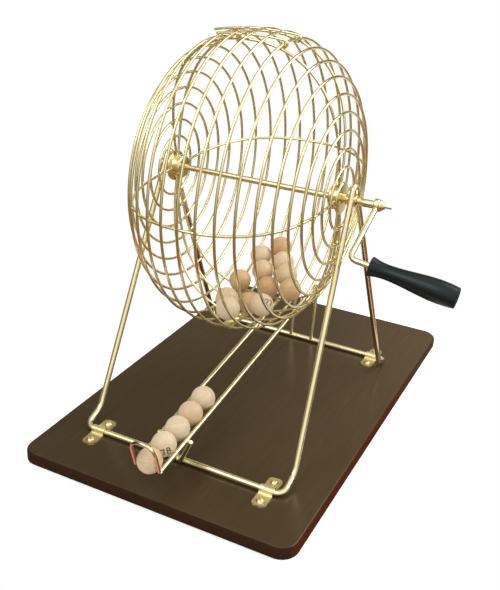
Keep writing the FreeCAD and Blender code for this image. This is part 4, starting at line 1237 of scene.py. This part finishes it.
def make_grip():
    """Turned handle from a slim neck to a full belly, with a blind bore for the spindle."""
    length, edge = GRIP.length, GRIP.edge
    neck_at, belly_at = GRIP.neck_share * length, GRIP.belly_share * length
    neck, belly, inner, end = (size / 2 for size in (GRIP.neck, GRIP.belly, GRIP.inner, GRIP.outer))
    knots = [(edge, inner, (neck - inner) * 2 / (neck_at - edge)), (neck_at, neck, 0.0),
             (belly_at, belly, 0.0), (length - edge, end, (end - belly) * 2 / (length - belly_at))]
    points = [vec(a, r, 0) for a, r, _ in knots]
    tangents = [unit(vec(1, slope, 0)) for _, _, slope in knots]
    flank = hermite_path(points, tangents, 16)
    nose = arc_points(vec(length - edge, end - edge, 0), X_AXIS, Y_AXIS, edge, 80, 0, 8)
    bore = CRANK.rod / 2 + RUNNING_FIT
    depth = length - GRIP.end_wall + END_FLOAT
    outline = [(depth, 0), (depth, bore), (0.4, bore), (0, bore + 0.4), (0, inner - edge)]
    outline += [(edge * (1 - math.cos(a)), inner - edge * (1 - math.sin(a)))
                for a in np.radians([22, 45, 68])]
    outline += [(q[0], q[1]) for q in flank + nose]
    outline += [(length, end - edge - 0.3), (length, (end - edge) * 0.6), (length, 0)]
    start = CRANK_CORNER + GRIP_AXIS * GRIP.start
    shape = lathe(Shape(), outline, start, GRIP_AXIS, sides=72)
    for i, face in enumerate(shape.faces):
        if min((shape.points[k] - start) @ GRIP_AXIS for k in face) > length - 0.1:
            shape.slots[i] = 1
    piece("grip_handle", shape, "grip", ["crank_grip"], "grip", black_satin, black_end)


# ---------------------------------------------------------------- door
DOOR_MIDDLE = (DOOR_FRONT + DOOR_REAR) / 2
DOOR_HALF_ANGLE = math.radians((DOOR_FRONT - DOOR_REAR) / 2 - DOOR.inset)
DOOR_OUT, DOOR_ACROSS = radial(DOOR_MIDDLE), tangential(DOOR_MIDDLE)
HINGE_X, HINGE_R = ring_station(DOOR.hinge_ring)
HINGE_HEIGHT = HINGE_R * math.cos(DOOR_HALF_ANGLE)
DOOR_HALF_WIDTH = HINGE_R * math.sin(DOOR_HALF_ANGLE)
BOW_CENTRE = HINGE_HEIGHT - math.sqrt((DOOR.bow - EYE_BEND) ** 2 - (HINGE_X - DOOR.bow_middle) ** 2)


def door_place(x, height, across):
    return on_axle(CAGE.x + x) + DOOR_OUT * height + DOOR_ACROSS * across


def bow_height(x):
    return BOW_CENTRE + math.sqrt(DOOR.bow ** 2 - (x - DOOR.bow_middle) ** 2)


def side_wire_path(across, tip):
    lean = math.degrees(math.atan2(HINGE_HEIGHT - BOW_CENTRE, HINGE_X - DOOR.bow_middle))
    eye = arc_points(door_place(HINGE_X, HINGE_HEIGHT, across), X_AXIS, DOOR_OUT, EYE_BEND,
                     lean, lean - DOOR.wrap, 34)
    stop = eye[0][0] - CAGE.x
    return [door_place(x, bow_height(x), across) for x in np.linspace(tip, stop, 28)[:-1]] + eye


def make_door():
    shape = Shape()
    for across, tip in ((-DOOR_HALF_WIDTH, DOOR.rear_tip), (DOOR_HALF_WIDTH, DOOR.front_tip)):
        tube(shape, side_wire_path(across, tip), DOOR.wire, sides=16)
    for index in DOOR.rings:
        x, _ = ring_station(index)
        for across in (-DOOR_HALF_WIDTH, DOOR_HALF_WIDTH):
            bead(shape, door_place(x, bow_height(x), across), X_AXIS, DOOR_ACROSS, SOLDER.door)
    piece("door_side_wire_pair", shape, "door", ["door_side_wires"], "brass", wire_brass, solder_brass)

    shape = Shape()
    for index in DOOR.rings:
        x, r = ring_station(index)
        short = math.degrees(DOOR.stub_gap / 2 / r)
        path = hoop_points(x, r - WELD_GAP + END_FLOAT, DOOR_REAR + short, DOOR_FRONT - short, 14)
        tube(shape, path, DOOR.wire)
    piece("door_cross_wire_set", shape, "door", ["door_cross_wires"], "brass", wire_brass)


def make_clip():
    """Spring strip curled over the door's front side wire and hooked under the meridian."""
    pivot = door_place(CLIP.offset, bow_height(CLIP.offset), DOOR_HALF_WIDTH)
    lean = math.radians(DOOR_FRONT - DOOR_MIDDLE)
    meridian_r = profile_radius(CLIP.offset) - MERIDIAN_INSET
    below = bow_height(CLIP.offset) - meridian_r * math.cos(lean)
    shelf = DOOR.wire / 2 + CLIP.play + CLIP.sheet / 2
    clear = CAGE.meridian / 2 + CLIP.clearance + CLIP.sheet / 2
    reach = meridian_r * math.sin(lean) - DOOR_HALF_WIDTH + clear
    tip = reach - CLIP.hook
    curl = [(shelf * math.cos(a), shelf * math.sin(a)) for a in np.radians(np.arange(200, 89, -10))]
    corners = [(0.0, shelf), (reach, shelf), (reach, -below - CLIP.shoulder),
               (tip, -below - clear - CLIP.hook), (tip + CLIP.tail, -CLIP.drop)]
    line = np.array(curl[:-1] + eased(corners, [CLIP.shoulder, 0.6, 0.6], 5))
    normal = left_of(line) * CLIP.sheet / 2
    half = CLIP.width / 2
    section = [[pivot + X_AXIS * x + DOOR_ACROSS * t + DOOR_OUT * u for t, u in line + side * normal]
               for x, side in ((-half, 1), (half, 1), (half, -1), (-half, -1))]
    count = len(line)
    points = [edge[i] for i in range(count) for edge in section]
    faces = ring_faces(count, 4, False) + [(3, 2, 1, 0), tuple(range(4 * count - 4, 4 * count))]
    obj = piece("door_clip_strip", Shape().add(points, faces), "door_clip", ["door_clip"], "brass",
                sheet_brass, sharp=50)
    bevel_edges(obj, 0.15, 60)


for make in (make_board, make_stand_rod, make_bushes, make_straps, make_screws, make_rails, make_arch,
             make_saddle, make_balls, make_rings, make_meridians, make_exit, make_hubs, make_solder,
             make_set_screws, make_axle, make_crank, make_grip, make_door, make_clip):
    make()


# ---------------------------------------------------------------- set and light
WHITE = (1.0, 1.0, 1.0, 1.0)
FLOOR_MARGIN = 0.035
FLOOR_DROP = 0.0002
FLOOR_LIFT = 0.42
CAMERA_SIDE = (0.35, -0.45, 0.82)
BACKDROP_SIDE = (-0.389, 0.834, -0.390)
BACKDROP_EDGE = (0.71, 0.80)
CARD_STOPS = [(0.00, (0.15, 0.130, 0.080)), (0.48, (0.17, 0.146, 0.092)), (0.62, (0.30, 0.25, 0.18)),
              (0.74, (0.64, 0.60, 0.52)), (0.83, (1.0, 0.99, 0.96)), (1.0, (1.0, 0.99, 0.97))]
LOWER_CARD = (0.31, 0.135, 0.055, 1.0)
LOWER_EDGE = (-0.40, -0.68)
TENT_STRENGTH = 1.14
PLAIN_LIGHT = 0.65
PHOTO = Sizes(azimuth=25.04, elevation=23.15, roll=2.97, place=(322.28, -684.63, 478.60), focal=841.59,
              centre=(265.14, 256.56), width=500, height=590)


def make_floor():
    """White paper under the board, lifted to white for the camera and for reflections."""
    mesh = bpy.data.meshes.new("floor")
    x, y = (side / 2 * MM + FLOOR_MARGIN for side in (BOARD.width, BOARD.depth))
    mesh.from_pydata([(-x, -y, 0), (x, -y, 0), (x, y, 0), (-x, y, 0)], [], [(0, 1, 2, 3)])
    floor = placed("floor", mesh)
    floor.location.z = -FLOOR_DROP
    n = plain_nodes("floor_paper", (3.0, 2.0), grey_stops((0.3, 0.93), (0.7, 0.95)), Roughness=0.9,
                    Specular_IOR_Level=0.0, Emission_Color=WHITE)
    rays = n.node("LightPath").outputs
    seen = rays["Is Camera Ray"]
    for ray in ("Is Glossy Ray", "Is Transmission Ray"):
        seen = n.math("MAXIMUM", seen, rays[ray])
    n.shade(Emission_Strength=n.math("MULTIPLY", seen, FLOOR_LIFT))
    mesh.materials.append(n.owner)


def make_world():
    """White background, dark cards beside the object for its metal to reflect, and an even light."""
    world = bpy.data.worlds.new("studio")
    bpy.context.scene.world = world
    n = Nodes(world)
    n.tree.nodes.clear()
    rays = n.node("LightPath").outputs
    direction = n.node("TexCoord").outputs["Generated"]

    def towards(side):
        return n.node("VectorMath", direction, tuple(side), operation="DOT_PRODUCT").outputs["Value"]

    def light(colour, strength=1.0):
        return n.node("Background", colour, strength).outputs[0]

    def mixed(share, first, second):
        return n.node("MixShader", share, first, second).outputs[0]

    cards = n.ramp(n.span(towards(unit(vec(*CAMERA_SIDE))), -1.0, 1.0), CARD_STOPS)
    height = n.node("SeparateXYZ", direction).outputs["Z"]
    tent = light(n.blend(n.span(height, *LOWER_EDGE), cards, LOWER_CARD), TENT_STRENGTH)
    backdrop = light(WHITE)
    mirrored = mixed(n.span(towards(BACKDROP_SIDE), *BACKDROP_EDGE), tent, backdrop)
    reflecting = n.math("MAXIMUM", rays["Is Glossy Ray"], rays["Is Transmission Ray"])
    lighting = mixed(reflecting, light(WHITE, PLAIN_LIGHT), mirrored)
    n.node("OutputWorld", mixed(rays["Is Camera Ray"], lighting, backdrop))


def make_lamp(name, place, aim, size, watts):
    light = bpy.data.lights.new(name, "AREA")
    light.shape = "RECTANGLE"
    light.size, light.size_y = size
    light.energy = watts
    lamp = placed(name, light)
    lamp.location = place
    lamp.rotation_euler = (Vector(aim) - Vector(place)).to_track_quat("-Z", "Y").to_euler()


def make_camera():
    """Camera at the photograph's place, turned and framed as it was."""
    azimuth, elevation, roll = (math.radians(a) for a in (PHOTO.azimuth, PHOTO.elevation, PHOTO.roll))
    level = vec(math.cos(azimuth), math.sin(azimuth), 0)
    back = vec(math.sin(azimuth) * math.cos(elevation), -math.cos(azimuth) * math.cos(elevation),
               math.sin(elevation))
    upright = np.cross(back, level)
    right = level * math.cos(roll) + upright * math.sin(roll)
    up = -level * math.sin(roll) + upright * math.cos(roll)
    data = bpy.data.cameras.new("camera")
    data.sensor_fit = "VERTICAL"
    data.sensor_height = 36.0
    data.lens = PHOTO.focal / PHOTO.height * data.sensor_height
    data.shift_x = (PHOTO.width / 2 - PHOTO.centre[0]) / PHOTO.height
    data.shift_y = (PHOTO.centre[1] - PHOTO.height / 2) / PHOTO.height
    data.clip_start, data.clip_end = 0.05, 50.0
    camera = placed("camera", data)
    turn = Matrix(np.stack([right, up, back], 1).tolist()).to_4x4()
    camera.matrix_world = Matrix.Translation(vec(*PHOTO.place) * MM) @ turn
    bpy.context.scene.camera = camera


make_floor()
make_world()
make_lamp("front_box", (-0.45, -1.2, 1.6), (0, 0, 0.12), (1.05, 1.05), 10.5)
make_lamp("right_box", (0.72, 0.48, 0.86), (0, 0, 0.10), (0.9, 0.9), 9.5)
make_camera()
bpy.context.scene.view_settings.view_transform = "Standard"
